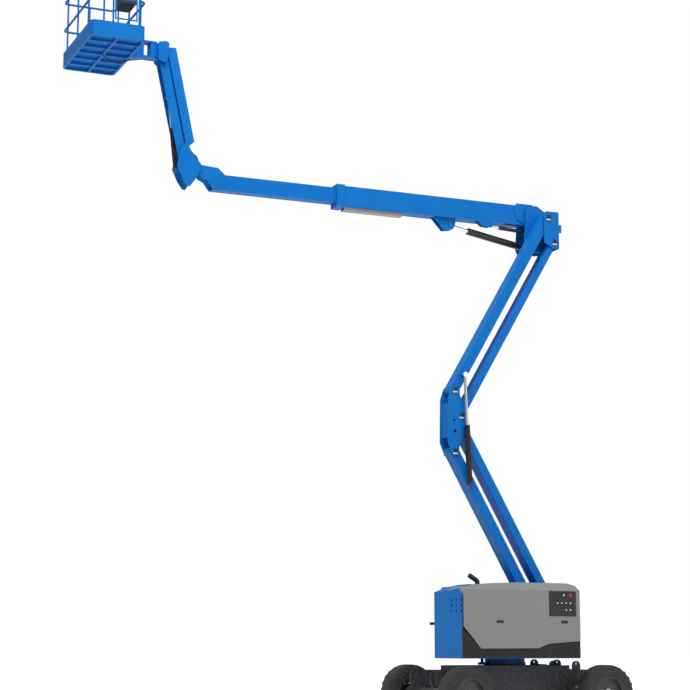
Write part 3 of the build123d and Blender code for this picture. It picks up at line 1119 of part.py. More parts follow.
# Platform floor: yoke round the rotator, perimeter frame, cross bars, floor sheet and toe boards
FLOOR_BOTTOM = 10531.0
PLATFORM_REAR = 6532.0
PLATFORM_FRONT = 7412.0
PLATFORM_HALF = 915.0
PLATFORM_X = (PLATFORM_REAR + PLATFORM_FRONT) / 2
PLATFORM_LENGTH = PLATFORM_FRONT - PLATFORM_REAR
PLATFORM_CORNER = 90.0
FRAME_DEPTH = 40.0
FRAME_WIDTH = 40.0
FLOOR_SHEET = 5.0
TOE_HEIGHT = 200.0
TOE_WALL = 4.0
CROSS_BARS = 5
STEP_REACH = 110.0
STEP_REAR = 6800.0
YOKE_GAP = 3.0
YOKE_PLATE = 30.0
YOKE_X = 6320.0
YOKE_WIDTH = 200.0
with BuildPart() as platform_floor:
    for level, height in ((FLOOR_BOTTOM, FRAME_DEPTH), (FLOOR_BOTTOM + FRAME_DEPTH + FLOOR_SHEET, TOE_HEIGHT)):
        wall = FRAME_WIDTH if level == FLOOR_BOTTOM else TOE_WALL
        with BuildSketch(Plane.XY.offset(level)):
            with Locations((PLATFORM_X, BOOM_Y)):
                RectangleRounded(PLATFORM_LENGTH, 2 * PLATFORM_HALF, PLATFORM_CORNER)
                RectangleRounded(PLATFORM_LENGTH - 2 * wall, 2 * (PLATFORM_HALF - wall), PLATFORM_CORNER - wall,
                                 mode=Mode.SUBTRACT)
        extrude(amount=height)
    with BuildSketch(Plane.XY.offset(FLOOR_BOTTOM + FRAME_DEPTH)):
        with Locations((PLATFORM_X, BOOM_Y)):
            RectangleRounded(PLATFORM_LENGTH, 2 * PLATFORM_HALF, PLATFORM_CORNER)
    extrude(amount=FLOOR_SHEET)
    with BuildSketch(Plane.XY.offset(FLOOR_BOTTOM)):
        with Locations((PLATFORM_X, BOOM_Y)):
            with GridLocations(0, 2 * PLATFORM_HALF / (CROSS_BARS + 1), 1, CROSS_BARS):
                Rectangle(PLATFORM_LENGTH - 2 * FLOOR_SHEET, FRAME_WIDTH)
        with Locations((PLATFORM_X, BOOM_Y)):
            Rectangle(FRAME_WIDTH, 2 * (PLATFORM_HALF - FLOOR_SHEET))
    extrude(amount=FRAME_DEPTH)
    with BuildSketch(Plane.XZ.offset(-BOOM_Y - YOKE_WIDTH / 2)):
        Polygon(
            (YOKE_X, ROTATOR_BOTTOM - YOKE_GAP - YOKE_PLATE),
            (PLATFORM_REAR + FLOOR_SHEET, FLOOR_BOTTOM),
            (PLATFORM_REAR + FLOOR_SHEET, FLOOR_BOTTOM + FRAME_DEPTH),
            (YOKE_X + YOKE_PLATE, ROTATOR_TOP),
            (YOKE_X + YOKE_PLATE, ROTATOR_TOP + YOKE_GAP + YOKE_PLATE),
            (YOKE_X, ROTATOR_TOP + YOKE_GAP + YOKE_PLATE),
            align=None,
        )
    extrude(amount=YOKE_WIDTH)
    with BuildSketch(Plane.XZ.offset(-BOOM_Y - YOKE_WIDTH / 2 + FLANGE)):
        Polygon(
            (YOKE_X + YOKE_PLATE, ROTATOR_BOTTOM),
            (PLATFORM_REAR - FRAME_WIDTH, FLOOR_BOTTOM + FRAME_DEPTH),
            (YOKE_X + YOKE_PLATE, ROTATOR_TOP - YOKE_PLATE),
            align=None,
        )
    extrude(amount=YOKE_WIDTH - 2 * FLANGE, mode=Mode.SUBTRACT)
    for level in (ROTATOR_BOTTOM - YOKE_GAP - YOKE_PLATE, ROTATOR_TOP + YOKE_GAP):
        with BuildSketch(Plane.XY.offset(level)):
            with Locations((ROTATOR_X, BOOM_Y)):
                Circle(ROTATOR_RADIUS)
            with Locations(((ROTATOR_X + YOKE_X) / 2 + FLANGE, BOOM_Y)):
                Rectangle(YOKE_X - ROTATOR_X + 2 * FLANGE, 2 * ROTATOR_RADIUS)
        extrude(amount=YOKE_PLATE)
    with BuildSketch(Plane.XY.offset(ROTATOR_BOTTOM - YOKE_GAP)):
        with Locations((ROTATOR_X, BOOM_Y)):
            Circle(KINGPIN_RADIUS)
    extrude(amount=ROTATOR_TOP - ROTATOR_BOTTOM + 2 * YOKE_GAP)
platform_floor.part.label = "platform_floor"
export_step(platform_floor.part, "parts/platform_floor.step")

# Guard rails: posts on the toe boards, mid rail and top rail, open at the gate on the left end
POST_RADIUS = 15.0
RAIL_RADIUS = 18.0
RAIL_BASE = FLOOR_BOTTOM + FRAME_DEPTH + FLOOR_SHEET + TOE_HEIGHT
TOP_RAIL_Z = FLOOR_BOTTOM + 1120.0
MID_RAIL_Z = FLOOR_BOTTOM + 640.0
RAIL_INSET = RAIL_RADIUS
RAIL_BACK = PLATFORM_REAR + RAIL_INSET
RAIL_NOSE = PLATFORM_FRONT - RAIL_INSET
RAIL_LEFT = BOOM_Y + PLATFORM_HALF - RAIL_INSET
RAIL_RIGHT = BOOM_Y - PLATFORM_HALF + RAIL_INSET
RAIL_BEND = 120.0
GATE_BACK = 6640.0
GATE_FRONT = 7060.0
POST_PLACES = (
    (GATE_BACK, RAIL_LEFT), (GATE_FRONT, RAIL_LEFT), (7210.0, RAIL_LEFT), (RAIL_NOSE, RAIL_LEFT - 2 * RAIL_BEND),
    (RAIL_NOSE, BOOM_Y), (RAIL_NOSE, RAIL_RIGHT + 2 * RAIL_BEND), (PLATFORM_X, RAIL_RIGHT),
    (RAIL_BACK, RAIL_RIGHT + 2 * RAIL_BEND), (RAIL_BACK, BOOM_Y), (RAIL_BACK, RAIL_LEFT - 2 * RAIL_BEND),
)
with BuildPart() as platform_rails:
    for rail_z in (MID_RAIL_Z, TOP_RAIL_Z):
        rail_plane = Plane.XY.offset(rail_z)
        with BuildLine(rail_plane):
            FilletPolyline(
                (GATE_BACK, RAIL_LEFT),
                (RAIL_BACK, RAIL_LEFT),
                (RAIL_BACK, RAIL_RIGHT),
                (RAIL_NOSE, RAIL_RIGHT),
                (RAIL_NOSE, RAIL_LEFT),
                (GATE_FRONT, RAIL_LEFT),
                radius=RAIL_BEND / 2,
            )
        with BuildSketch(Plane(origin=(GATE_BACK, RAIL_LEFT, rail_z), x_dir=(0, 1, 0), z_dir=(-1, 0, 0))):
            Circle(RAIL_RADIUS)
        sweep()
    with BuildSketch(Plane.XY.offset(RAIL_BASE)):
        with Locations(*POST_PLACES):
            Circle(POST_RADIUS)
    extrude(amount=TOP_RAIL_Z - RAIL_BASE)
platform_rails.part.label = "platform_rails"
export_step(platform_rails.part, "parts/platform_rails.step")

# Entry gate, hinged on the rear gate post
GATE_SIDE = 12.0
GATE_BOTTOM = RAIL_BASE + 60.0
GATE_TOP = TOP_RAIL_Z - 20.0
GATE_RADIUS = 12.0
GATE_LEFT = RAIL_LEFT
GATE_START = GATE_BACK + POST_RADIUS + GATE_SIDE
GATE_STOP = GATE_FRONT - POST_RADIUS - GATE_SIDE
with BuildPart() as platform_gate:
    with BuildLine(Plane.XZ.offset(-GATE_LEFT)):
        FilletPolyline(
            (GATE_START + GATE_RADIUS, GATE_BOTTOM),
            (GATE_START + GATE_RADIUS, GATE_TOP - GATE_RADIUS),
            (GATE_STOP - GATE_RADIUS, GATE_TOP - GATE_RADIUS),
            (GATE_STOP - GATE_RADIUS, GATE_BOTTOM),
            radius=3 * GATE_RADIUS,
        )
    with BuildSketch(Plane.XY.offset(GATE_BOTTOM)):
        with Locations((GATE_START + GATE_RADIUS, GATE_LEFT)):
            Circle(GATE_RADIUS)
    sweep()
    for bar_z in (GATE_BOTTOM + GATE_RADIUS, MID_RAIL_Z):
        with Locations(((GATE_START + GATE_STOP) / 2, GATE_LEFT, bar_z)):
            Cylinder(GATE_RADIUS, GATE_STOP - GATE_START - 2 * GATE_RADIUS, rotation=(0, 90, 0))
platform_gate.part.label = "platform_gate"
export_step(platform_gate.part, "parts/platform_gate.step")

# Control console on the rear rail
CONSOLE = (240.0, 420.0, 200.0)
CONSOLE_SIDE = 265.0
CONSOLE_Z = TOP_RAIL_Z - 260.0
with BuildPart() as control_console:
    with Locations((RAIL_BACK + POST_RADIUS + CONSOLE[0] / 2, BOOM_Y + CONSOLE_SIDE, CONSOLE_Z)):
        Box(*CONSOLE)
control_console.part.label = "control_console"
export_step(control_console.part, "parts/control_console.step")
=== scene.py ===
import bpy
import math
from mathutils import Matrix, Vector


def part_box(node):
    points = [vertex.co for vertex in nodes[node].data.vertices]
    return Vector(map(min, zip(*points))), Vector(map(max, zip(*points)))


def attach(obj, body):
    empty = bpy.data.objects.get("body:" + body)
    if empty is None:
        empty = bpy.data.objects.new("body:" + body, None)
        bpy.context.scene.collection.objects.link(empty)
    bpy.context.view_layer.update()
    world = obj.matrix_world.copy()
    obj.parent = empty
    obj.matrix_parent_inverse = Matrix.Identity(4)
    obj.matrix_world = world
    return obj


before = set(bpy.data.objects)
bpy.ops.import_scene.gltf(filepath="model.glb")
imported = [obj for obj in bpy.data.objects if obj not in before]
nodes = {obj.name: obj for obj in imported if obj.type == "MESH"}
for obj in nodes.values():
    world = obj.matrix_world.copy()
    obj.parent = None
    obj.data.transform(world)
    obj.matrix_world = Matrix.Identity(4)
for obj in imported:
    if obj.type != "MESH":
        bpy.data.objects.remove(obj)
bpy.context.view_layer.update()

# Painted steelwork: bright mid blue enamel over welded plate and box tube.
# The colour drifts a little over the large faces, with faint orange peel and a thin film of dust.
BLUE = (0.001, 0.170, 0.57)
DUST_GREY = (0.36, 0.35, 0.33, 1)
DRIFT_SPAN = (0.3, 0.72)
DUST_SPAN = (0.45, 0.8)
LIGHTEN = 0.002
DRIFT_DETAIL = 6.0
FILM_DETAIL = 8.0
FILM_ROUGHNESS = 0.7
FILM_PER_DRIFT = 9
ROUGH_LEAST = 0.8
ROUGH_MOST = 1.35
PEEL_DEPTH = 0.002
PLATE_SMOOTH = math.radians(32)


def enamel(name, colour, rough=0.32, drift=0.06, scale=1.6, peel=0.02, peel_scale=260.0, metal=0.0, dust=0.10,
           shine=0.4):
    mat = bpy.data.materials.new(name)
    mat.use_nodes = True
    nt = mat.node_tree
    shader = nt.nodes["Principled BSDF"]
    shader.inputs["Metallic"].default_value = metal
    shader.inputs["Specular IOR Level"].default_value = shine
    coords = nt.nodes.new("ShaderNodeTexCoord")

    broad = nt.nodes.new("ShaderNodeTexNoise")
    broad.inputs["Scale"].default_value = scale
    broad.inputs["Detail"].default_value = DRIFT_DETAIL
    nt.links.new(coords.outputs["Object"], broad.inputs["Vector"])
    ramp = nt.nodes.new("ShaderNodeValToRGB")
    darker, lighter = ramp.color_ramp.elements
    darker.position, lighter.position = DRIFT_SPAN
    darker.color = [c * (1 - drift) for c in colour] + [1]
    lighter.color = [min(1, c * (1 + drift) + LIGHTEN) for c in colour] + [1]
    nt.links.new(broad.outputs["Fac"], ramp.inputs["Fac"])

    film = nt.nodes.new("ShaderNodeTexNoise")
    film.inputs["Scale"].default_value = scale * FILM_PER_DRIFT
    film.inputs["Detail"].default_value = FILM_DETAIL
    film.inputs["Roughness"].default_value = FILM_ROUGHNESS
    nt.links.new(coords.outputs["Object"], film.inputs["Vector"])
    amount = nt.nodes.new("ShaderNodeMapRange")
    amount.inputs["From Min"].default_value, amount.inputs["From Max"].default_value = DUST_SPAN
    amount.inputs["To Max"].default_value = dust
    nt.links.new(film.outputs["Fac"], amount.inputs["Value"])
    mix = nt.nodes.new("ShaderNodeMix")
    mix.data_type = "RGBA"
    mix.inputs["B"].default_value = DUST_GREY
    nt.links.new(amount.outputs["Result"], mix.inputs["Factor"])
    nt.links.new(ramp.outputs["Color"], mix.inputs["A"])
    nt.links.new(mix.outputs["Result"], shader.inputs["Base Color"])

    gloss = nt.nodes.new("ShaderNodeMapRange")
    gloss.inputs["To Min"].default_value = rough * ROUGH_LEAST
    gloss.inputs["To Max"].default_value = min(1.0, rough * ROUGH_MOST)
    nt.links.new(film.outputs["Fac"], gloss.inputs["Value"])
    nt.links.new(gloss.outputs["Result"], shader.inputs["Roughness"])

    fine = nt.nodes.new("ShaderNodeTexNoise")
    fine.inputs["Scale"].default_value = peel_scale
    nt.links.new(coords.outputs["Object"], fine.inputs["Vector"])
    bump = nt.nodes.new("ShaderNodeBump")
    bump.inputs["Strength"].default_value = peel
    bump.inputs["Distance"].default_value = PEEL_DEPTH
    nt.links.new(fine.outputs["Fac"], bump.inputs["Height"])
    nt.links.new(bump.outputs["Normal"], shader.inputs["Normal"])
    return mat


def dress(mat, *names):
    for name in names:
        piece = nodes[name]
        piece.data.materials.clear()
        piece.data.materials.append(mat)
        bpy.ops.object.select_all(action="DESELECT")
        piece.select_set(True)
        bpy.context.view_layer.objects.active = piece
        bpy.ops.object.shade_smooth_by_angle(angle=PLATE_SMOOTH)


blue = enamel("blue_enamel", BLUE, rough=0.42, dust=0.015, shine=0.12)
dress(blue, "turntable_frame", "lower_arm", "lower_link", "upper_arm", "upper_link", "riser_knuckle", "upright",
      "boom_tube", "extension_tube", "bellcrank", "jib_arm", "jib_link", "jib_head", "platform_floor",
      "platform_rails", "platform_gate")

# Hinged covers: moulded mid grey plastic with a fine leather-like grain.
# Each is a lid on the turntable's side that lifts outwards.
COVER_GREY = (0.255, 0.262, 0.262)
cover_grey = enamel("cover_grey", COVER_GREY, rough=0.48, drift=0.03, peel=0.12, peel_scale=420.0, dust=0.08)
dress(cover_grey, "cover_left", "cover_right")

# Lower skirts, counterweight and engine masses: charcoal plastic and cast iron in charcoal paint.
# They are duller and far darker than the covers above them.
CHARCOAL = (0.022, 0.022, 0.024)
charcoal = enamel("charcoal", CHARCOAL, rough=0.55, drift=0.12, peel=0.2, peel_scale=180.0, dust=0.05, shine=0.2)
dress(charcoal, "skirts", "counterweight", "power_blocks")

# Chassis, axles, steering knuckles and exhaust pipe: welded steel in black enamel.
# Dust lies on them because they run close to the ground.
CHASSIS_BLACK = (0.028, 0.03, 0.033)
chassis_black = enamel("chassis_black", CHASSIS_BLACK, rough=0.5, drift=0.15, peel=0.1, peel_scale=90.0, dust=0.22)
dress(chassis_black, "chassis_frame", "front_axle", "rear_axle", "steer_knuckle_left", "steer_knuckle_right",
      "exhaust_pipe")

# Slewing ring: bare dark steel with a film of grease.
# It is bolted to the chassis, and the turntable turns on it.
RING_STEEL = (0.06, 0.06, 0.062)
ring_steel = enamel("ring_steel", RING_STEEL, rough=0.42, drift=0.2, peel=0.3, peel_scale=60.0, metal=0.8)
dress(ring_steel, "slew_gear")

# Tyres: solid-filled grey-black rubber with dust in the pores.
# The CAD tyre is the carcass. The tread blocks on its shoulders come after the wheel nuts.
RUBBER_BLACK = (0.026, 0.026, 0.027)
rubber = enamel("tyre_rubber", RUBBER_BLACK, rough=0.78, drift=0.2, scale=5.0, peel=0.5, peel_scale=150.0, dust=0.2)
dress(rubber, "tyre_front_left", "tyre_front_right", "tyre_rear_left", "tyre_rear_right")

# Wheel discs: dark grey painted pressed steel, set deep inside the tyres.
# Each is held by ten nuts on the hub.
DISC_GREY = (0.055, 0.056, 0.06)
disc_grey = enamel("disc_grey", DISC_GREY, rough=0.5, drift=0.1, peel=0.1, dust=0.2)
dress(disc_grey, "rim_front_left", "rim_front_right", "rim_rear_left", "rim_rear_right")

# Cylinder barrels: drawn steel tube in gloss black enamel.
# They raise the riser, raise the boom, keep the platform level and swing the jib.
BARREL_BLACK = (0.010, 0.010, 0.011)
barrel_black = enamel("barrel_black", BARREL_BLACK, rough=0.26, drift=0.2, dust=0.05)
dress(barrel_black, "riser_barrel", "lift_barrel", "master_barrel", "jib_barrel")

# Cylinder rods: hard chrome with a faint oil film.
# Each slides in its barrel and carries its own eye.
CHROME = (0.78, 0.79, 0.81)
rod_chrome = enamel("rod_chrome", CHROME, rough=0.12, drift=0.03, peel=0.0, metal=1.0, dust=0.04)
dress(rod_chrome, "riser_rod", "lift_rod", "master_rod", "jib_rod")

# Hose tray: pale beige-grey folded sheet, an open channel.
# It hangs under the fixed boom tube.
TRAY_GREY = (0.42, 0.41, 0.38)
tray_grey = enamel("tray_grey", TRAY_GREY, rough=0.5, drift=0.08, peel=0.1, dust=0.15)
dress(tray_grey, "hose_tray")

# Control console on the platform: matt black moulding.
# It stands at the platform's boom side, by the rear top rail.
CONSOLE_BLACK = (0.03, 0.03, 0.033)
console_black = enamel("bag_black", CONSOLE_BLACK, rough=0.8, drift=0.2, scale=9, peel=0.6, peel_scale=300.0)
dress(console_black, "control_console")

# Pivot pins of the knuckle and the upright: black round heads proud of the cheek plates.
# A zinc-plated keeper bar under each head stops the pin from turning.
HEAD_BLACK = (0.014, 0.014, 0.015)
ZINC = (0.62, 0.60, 0.55)
HEAD_RADIUS = 0.040
HEAD_THICK = 0.010
HEAD_SIDES = 40
HEAD_EDGE = 0.0025
HEAD_SMOOTH = math.radians(35)
FACING_SIDEWAYS = math.radians(90)
ROUND_STEPS = 3
HEAD_OUT = 0.004
CHEEK_FACE = 0.163
KEEPER_SIZE = (0.085, 0.005, 0.024)
KEEPER_EDGE = 0.0015
KEEPER_STEPS = 2
KEEPER_FORWARD = 0.016
KEEPER_OUT = 0.008
KEEPER_DROP = 0.006
LEFT_ONLY = (1,)
RIGHT_ONLY = (-1,)
BOTH_SIDES = (1, -1)
PIVOT_PINS = (
    ("riser_middle", 0.944, 4.370, BOTH_SIDES),
    ("riser_middle", 0.810, 4.800, RIGHT_ONLY),
    ("riser_middle", 0.930, 5.402, BOTH_SIDES),
    ("riser_middle", 0.815, 4.972, BOTH_SIDES),
    ("riser_top", -0.923, 8.535, LEFT_ONLY),
    ("riser_top", -1.038, 8.105, LEFT_ONLY),
)
head_black = enamel("pin_head_black", HEAD_BLACK, rough=0.4, drift=0.2, peel=0.1, dust=0.1)
zinc = enamel("zinc_plate", ZINC, rough=0.32, drift=0.08, peel=0.1, metal=0.9, dust=0.08)


def soften_edges(piece, width, steps):
    bevel = piece.modifiers.new("bevel", "BEVEL")
    bevel.width = width
    bevel.segments = steps
    bpy.ops.object.modifier_apply(modifier="bevel")


def turned_disc(name, place, radius, depth, sides, edge, mat, smooth):
    bpy.ops.object.select_all(action="DESELECT")
    bpy.ops.mesh.primitive_cylinder_add(vertices=sides, radius=radius, depth=depth, location=place,
                                        rotation=(FACING_SIDEWAYS, 0, 0))
    disc = bpy.context.active_object
    disc.name = name
    bpy.ops.object.transform_apply(location=True, rotation=True, scale=True)
    soften_edges(disc, edge, ROUND_STEPS)
    disc.data.materials.append(mat)
    bpy.ops.object.shade_smooth_by_angle(angle=smooth)
    return disc


def flat_block(name, place, size, edge, steps, mat):
    bpy.ops.object.select_all(action="DESELECT")
    bpy.ops.mesh.primitive_cube_add(size=1, location=place)
    block = bpy.context.active_object
    block.name = name
    block.scale = size
    bpy.ops.object.transform_apply(location=True, rotation=True, scale=True)
    soften_edges(block, edge, steps)
    block.data.materials.append(mat)
    return block


for number, (body, x, z, sides) in enumerate(PIVOT_PINS):
    for side in sides:
        side_word = "left" if side > 0 else "right"
        head = turned_disc("pin_head_%d_%s" % (number, side_word), (x, side * (CHEEK_FACE + HEAD_OUT), z),
                           HEAD_RADIUS, HEAD_THICK, HEAD_SIDES, HEAD_EDGE, head_black, HEAD_SMOOTH)
        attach(head, body)
        keeper_place = (x + KEEPER_FORWARD, side * (CHEEK_FACE + KEEPER_OUT), z - HEAD_RADIUS - KEEPER_DROP)
        keeper = flat_block("pin_keeper_%d_%s" % (number, side_word), keeper_place, KEEPER_SIZE, KEEPER_EDGE,
                            KEEPER_STEPS, zinc)
        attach(keeper, body)

# Wheel nuts and hub cap: ten zinc-plated nuts on their circle around a round cap.
# They stand on the face of each disc, and turn with the wheel.
NUTS = 10
NUT_SIDES = 6
NUT_RADIUS = 0.017
NUT_THICK = 0.022
NUT_CIRCLE = 0.138
NUT_OUT = 0.006
CAP_RADIUS = 0.062
CAP_THICK = 0.05
CAP_SIDES = 48
CAP_OUT = 0.015
NUT_EDGE = 0.003
DISC_DEEP = 0.095
WHEELS = (("front_left", 1), ("front_right", -1), ("rear_left", 1), ("rear_right", -1))
for corner, side in WHEELS:
    low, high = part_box("rim_" + corner)
    face = max(abs(low.y), abs(high.y)) - DISC_DEEP
    axle_x, axle_z = (low.x + high.x) / 2, (low.z + high.z) / 2
    bpy.ops.object.select_all(action="DESELECT")
    nuts = []
    for step in range(NUTS):
        angle = math.radians(360 / NUTS * step)
        nut_place = (axle_x + NUT_CIRCLE * math.cos(angle), side * (face + NUT_OUT),
                     axle_z + NUT_CIRCLE * math.sin(angle))
        bpy.ops.mesh.primitive_cylinder_add(vertices=NUT_SIDES, radius=NUT_RADIUS, depth=NUT_THICK, location=nut_place,
                                            rotation=(FACING_SIDEWAYS, angle, 0))
        nuts.append(bpy.context.active_object)
    bpy.ops.mesh.primitive_cylinder_add(vertices=CAP_SIDES, radius=CAP_RADIUS, depth=CAP_THICK,
                                        location=(axle_x, side * (face + CAP_OUT), axle_z),
                                        rotation=(FACING_SIDEWAYS, 0, 0))
    cap = bpy.context.active_object
    for nut in nuts:
        nut.select_set(True)
    cap.select_set(True)
    bpy.context.view_layer.objects.active = cap
    bpy.ops.object.join()
    cap.name = "wheel_nuts_" + corner
    bpy.ops.object.transform_apply(location=True, rotation=True, scale=True)
    soften_edges(cap, NUT_EDGE, ROUND_STEPS)
    cap.data.materials.append(zinc)
    bpy.ops.object.shade_smooth_by_angle(angle=HEAD_SMOOTH)
    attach(cap, "wheel_" + corner)

# Tread blocks: heavy moulded rubber blocks that wrap over both shoulders of each tyre.
# The two rows are staggered by half a pitch.
BLOCKS_A_ROW = 24
BLOCK_SIZE = (0.052, 0.060, 0.052)
BLOCK_DEEP = 0.033
BLOCK_INSET = 0.036
BLOCK_EDGE = 0.010
BLOCK_PITCH = 360 / BLOCKS_A_ROW
FIRST_BLOCK = BLOCK_PITCH / 4
RUBBER_SMOOTH = math.radians(40)
for corner, _ in WHEELS:
    low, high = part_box("tyre_" + corner)
    middle = (low + high) / 2
    ring, half_width = (high.x - low.x) / 2 - BLOCK_DEEP, (high.y - low.y) / 2
    bpy.ops.object.select_all(action="DESELECT")
    blocks = []
    for step in range(BLOCKS_A_ROW):
        for side in (-1, 1):
            stagger = BLOCK_PITCH / 2 if side > 0 else 0.0
            angle = math.radians(BLOCK_PITCH * step + stagger + FIRST_BLOCK)
            block_place = (middle.x + ring * math.cos(angle), middle.y + side * (half_width - BLOCK_INSET),
                           middle.z + ring * math.sin(angle))
            bpy.ops.mesh.primitive_cube_add(size=1, location=block_place, rotation=(0, -angle, 0))
            block = bpy.context.active_object
            block.scale = BLOCK_SIZE
            blocks.append(block)
    for block in blocks:
        block.select_set(True)
    bpy.ops.object.join()
    tread = bpy.context.active_object
    tread.name = "tread_blocks_" + corner
    bpy.ops.object.transform_apply(location=True, rotation=True, scale=True)
    soften_edges(tread, BLOCK_EDGE, ROUND_STEPS)
    tread.data.materials.append(rubber)
    bpy.ops.object.shade_smooth_by_angle(angle=RUBBER_SMOOTH)
    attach(tread, "wheel_" + corner)

# Ground controls on the left cover: a black moulded panel, a red stop button, a key switch and six switches.
# The panel stands a few millimetres proud of the cover and lifts with it.
STOP_RED = (0.55, 0.012, 0.01)
PANEL_PLACE = (-0.42, 1.194, 1.85)
PANEL_SIZE = (0.50, 0.020, 0.40)
KNOB_FACE = 1.206
KNOB_THICK = 0.016
KNOB_SIDES = 36
MOULDED_EDGE = 0.004
BUTTON_RADIUS = 0.032
KEY_RADIUS = 0.016
SWITCH_RADIUS = 0.013
COLUMNS = (-0.56, -0.48, -0.44, -0.40, -0.32)
TOP_ROW = 1.985
MIDDLE_ROW = 1.86
LOW_ROW = 1.75
stop_red = enamel("stop_red", STOP_RED, rough=0.35, dust=0.02)
panel = flat_block("ground_panel", PANEL_PLACE, PANEL_SIZE, MOULDED_EDGE, ROUND_STEPS, console_black)
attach(panel, "left_cover")
for name, x, z, radius, mat, slot_name in (
    ("stop_button", COLUMNS[0], TOP_ROW, BUTTON_RADIUS, stop_red, "console"),
    ("key_switch", COLUMNS[2], TOP_ROW, KEY_RADIUS, zinc, "chrome"),
    ("switch_one", COLUMNS[0], MIDDLE_ROW, SWITCH_RADIUS, zinc, "chrome"),
    ("switch_two", COLUMNS[1], MIDDLE_ROW, SWITCH_RADIUS, zinc, "chrome"),
    ("switch_three", COLUMNS[3], MIDDLE_ROW, SWITCH_RADIUS, zinc, "chrome"),
    ("switch_four", COLUMNS[4], MIDDLE_ROW, SWITCH_RADIUS, zinc, "chrome"),
    ("switch_five", COLUMNS[0], LOW_ROW, SWITCH_RADIUS, zinc, "chrome"),
    ("switch_six", COLUMNS[1], LOW_ROW, SWITCH_RADIUS, zinc, "chrome"),
):
    knob = turned_disc(name, (x, KNOB_FACE, z), radius, KNOB_THICK, KNOB_SIDES, MOULDED_EDGE, mat, RUBBER_SMOOTH)
    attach(knob, "left_cover")

# Cover latches: two black moulded paddles low on each cover.
# They lie almost flush with the plastic.
LATCH_SIZE = (0.13, 0.016, 0.045)
LATCH_PLACES = (-0.45, 0.72)
LATCH_FACE = 1.196
LATCH_Z = 1.56
LATCH_EDGE = 0.005
for side, body in ((1, "left_cover"), (-1, "right_cover")):
    for number, x in enumerate(LATCH_PLACES):
        latch = flat_block("cover_latch_%d_%s" % (number, body), (x, side * LATCH_FACE, LATCH_Z), LATCH_SIZE,
                           LATCH_EDGE, ROUND_STEPS, head_black)
        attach(latch, body)

# Hydraulic hoses: black rubber, fixed at both ends, so each rides on one body.
# One loops at the extension's head, two run down the back of the upright and one sags under the platform.
HOSE_BLACK = (0.018, 0.018, 0.019)
HOSE_RADIUS = 0.011
THIN_HOSE_RADIUS = 0.010
HOSE_ROUNDNESS = 4
HOSES = (
    ("hose_tip_outer", "boom_tip", HOSE_RADIUS,
     ((5.29, -0.40, 8.84), (5.30, -0.41, 9.02), (5.40, -0.42, 9.12), (5.50, -0.41, 9.02), (5.50, -0.40, 8.90))),
    ("hose_upright_a", "riser_top", HOSE_RADIUS,
     ((-1.128, 0.05, 8.05), (-1.150, 0.05, 8.12), (-1.152, 0.05, 8.30), (-1.150, 0.05, 8.50), (-1.128, 0.05, 8.57))),
    ("hose_upright_b", "riser_top", HOSE_RADIUS,
     ((-1.128, -0.02, 8.08), (-1.150, -0.02, 8.15), (-1.152, -0.02, 8.32), (-1.150, -0.02, 8.47),
      (-1.128, -0.02, 8.54))),
    ("hose_rotator", "platform", THIN_HOSE_RADIUS,
     ((6.55, -0.25, 10.50), (6.62, -0.24, 10.44), (6.80, -0.22, 10.42), (6.95, -0.22, 10.45), (7.00, -0.22, 10.51))),
)
hose_rubber = enamel("hose_rubber", HOSE_BLACK, rough=0.6, drift=0.2, scale=12.0, peel=0.3, peel_scale=300.0)
for name, body, radius, route in HOSES:
    line = bpy.data.curves.new(name, "CURVE")
    line.dimensions = "3D"
    line.bevel_depth = radius
    line.bevel_resolution = HOSE_ROUNDNESS
    run = line.splines.new("NURBS")
    run.points.add(len(route) - 1)
    for point, place in zip(run.points, route):
        point.co = (*place, 1)
    run.order_u = 3
    run.use_endpoint_u = True
    hose = bpy.data.objects.new(name, line)
    bpy.context.scene.collection.objects.link(hose)
    bpy.ops.object.select_all(action="DESELECT")
    hose.select_set(True)
    bpy.context.view_layer.objects.active = hose
    bpy.ops.object.convert(target="MESH")
    hose = bpy.context.active_object
    hose.data.materials.append(hose_rubber)
    bpy.ops.object.shade_smooth()
    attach(hose, body)

# Floor: a white sheet with a little light of its own for what the camera or a reflection sees.
# It reads as plain white and still keeps the shadows.
FLOOR_SPAN = 400
FLOOR_WHITE = (0.82, 0.82, 0.82, 1)
FLOOR_ROUGHNESS = 0.9
FLOOR_GLOW = 0.78
bpy.ops.mesh.primitive_plane_add(size=FLOOR_SPAN, location=(0, 0, 0))
floor = bpy.context.active_object
floor.name = "floor"
floor_mat = bpy.data.materials.new("floor_white")
floor_mat.use_nodes = True
ft = floor_mat.node_tree
sheet = ft.nodes["Principled BSDF"]
sheet.inputs["Base Color"].default_value = FLOOR_WHITE
sheet.inputs["Roughness"].default_value = FLOOR_ROUGHNESS
glow = ft.nodes.new("ShaderNodeEmission")
glow.inputs["Strength"].default_value = FLOOR_GLOW
glowing = ft.nodes.new("ShaderNodeAddShader")
seen = ft.nodes.new("ShaderNodeLightPath")
direct_or_mirrored = ft.nodes.new("ShaderNodeMath")
direct_or_mirrored.operation = "MAXIMUM"
ft.links.new(seen.outputs["Is Camera Ray"], direct_or_mirrored.inputs[0])
ft.links.new(seen.outputs["Is Glossy Ray"], direct_or_mirrored.inputs[1])
seen_at_all = ft.nodes.new("ShaderNodeMath")
seen_at_all.operation = "MAXIMUM"
ft.links.new(direct_or_mirrored.outputs["Value"], seen_at_all.inputs[0])
ft.links.new(seen.outputs["Is Transmission Ray"], seen_at_all.inputs[1])
pick = ft.nodes.new("ShaderNodeMixShader")
ft.links.new(seen_at_all.outputs["Value"], pick.inputs["Fac"])
ft.links.new(sheet.outputs["BSDF"], pick.inputs[1])
ft.links.new(sheet.outputs["BSDF"], glowing.inputs[0])
ft.links.new(glow.outputs["Emission"], glowing.inputs[1])
ft.links.new(glowing.outputs["Shader"], pick.inputs[2])
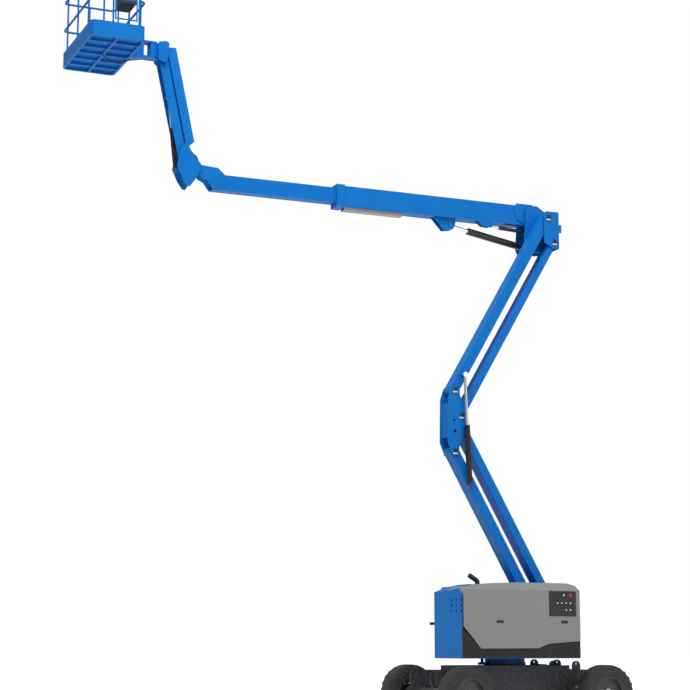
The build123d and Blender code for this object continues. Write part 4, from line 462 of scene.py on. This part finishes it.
ft.links.new(pick.outputs["Shader"], ft.nodes["Material Output"].inputs["Surface"])
floor.data.materials.append(floor_mat)

# World: soft even light from all round, seen by the camera as plain white.
SOFT_LIGHT = 0.40
SEEN_LIGHT = 1.0
PLAIN_WHITE = (1, 1, 1, 1)
world = bpy.data.worlds.new("studio")
bpy.context.scene.world = world
world.use_nodes = True
wt = world.node_tree
wt.nodes.clear()
out = wt.nodes.new("ShaderNodeOutputWorld")
soft = wt.nodes.new("ShaderNodeBackground")
soft.inputs["Color"].default_value = PLAIN_WHITE
soft.inputs["Strength"].default_value = SOFT_LIGHT
white = wt.nodes.new("ShaderNodeBackground")
white.inputs["Color"].default_value = PLAIN_WHITE
white.inputs["Strength"].default_value = SEEN_LIGHT
path = wt.nodes.new("ShaderNodeLightPath")
blend = wt.nodes.new("ShaderNodeMixShader")
wt.links.new(path.outputs["Is Camera Ray"], blend.inputs["Fac"])
wt.links.new(soft.outputs["Background"], blend.inputs[1])
wt.links.new(white.outputs["Background"], blend.inputs[2])
wt.links.new(blend.outputs["Shader"], out.inputs["Surface"])

# Lamps: one large soft key from high above and a weaker fill from the rear left.
# Both face a point at the height of the machine's waist.
WAIST = Vector((0, 0, 4))
LAMPS = (("key", (8, 9, 26), 4600, 12), ("fill", (-12, 18, 12), 700, 14))
for lamp_name, place, energy, size in LAMPS:
    lamp = bpy.data.lights.new(lamp_name, "AREA")
    lamp.energy = energy
    lamp.size = size
    lamp_object = bpy.data.objects.new(lamp_name, lamp)
    bpy.context.scene.collection.objects.link(lamp_object)
    lamp_object.location = place
    lamp_object.rotation_euler = (WAIST - Vector(place)).to_track_quat("-Z", "Y").to_euler()

# Camera at the photograph's viewpoint: low, to the front left, looking slightly up.
CAMERA_PLACE = (13.9493, 25.6872, 1.1226)
CAMERA_LENS = 90.46
CAMERA_SENSOR = 36
CAMERA_REACH = 500
turn, pitch = math.radians(23.327), math.radians(9.9665)
camera_data = bpy.data.cameras.new("camera")
camera_data.lens = CAMERA_LENS
camera_data.sensor_width = CAMERA_SENSOR
camera_data.clip_end = CAMERA_REACH
camera = bpy.data.objects.new("camera", camera_data)
bpy.context.scene.collection.objects.link(camera)
camera.location = CAMERA_PLACE
sight = Vector((-math.sin(turn) * math.cos(pitch), -math.cos(turn) * math.cos(pitch), math.sin(pitch)))
camera.rotation_euler = sight.to_track_quat("-Z", "Y").to_euler()
bpy.context.scene.camera = camera

bpy.context.scene.view_settings.view_transform = "Standard"
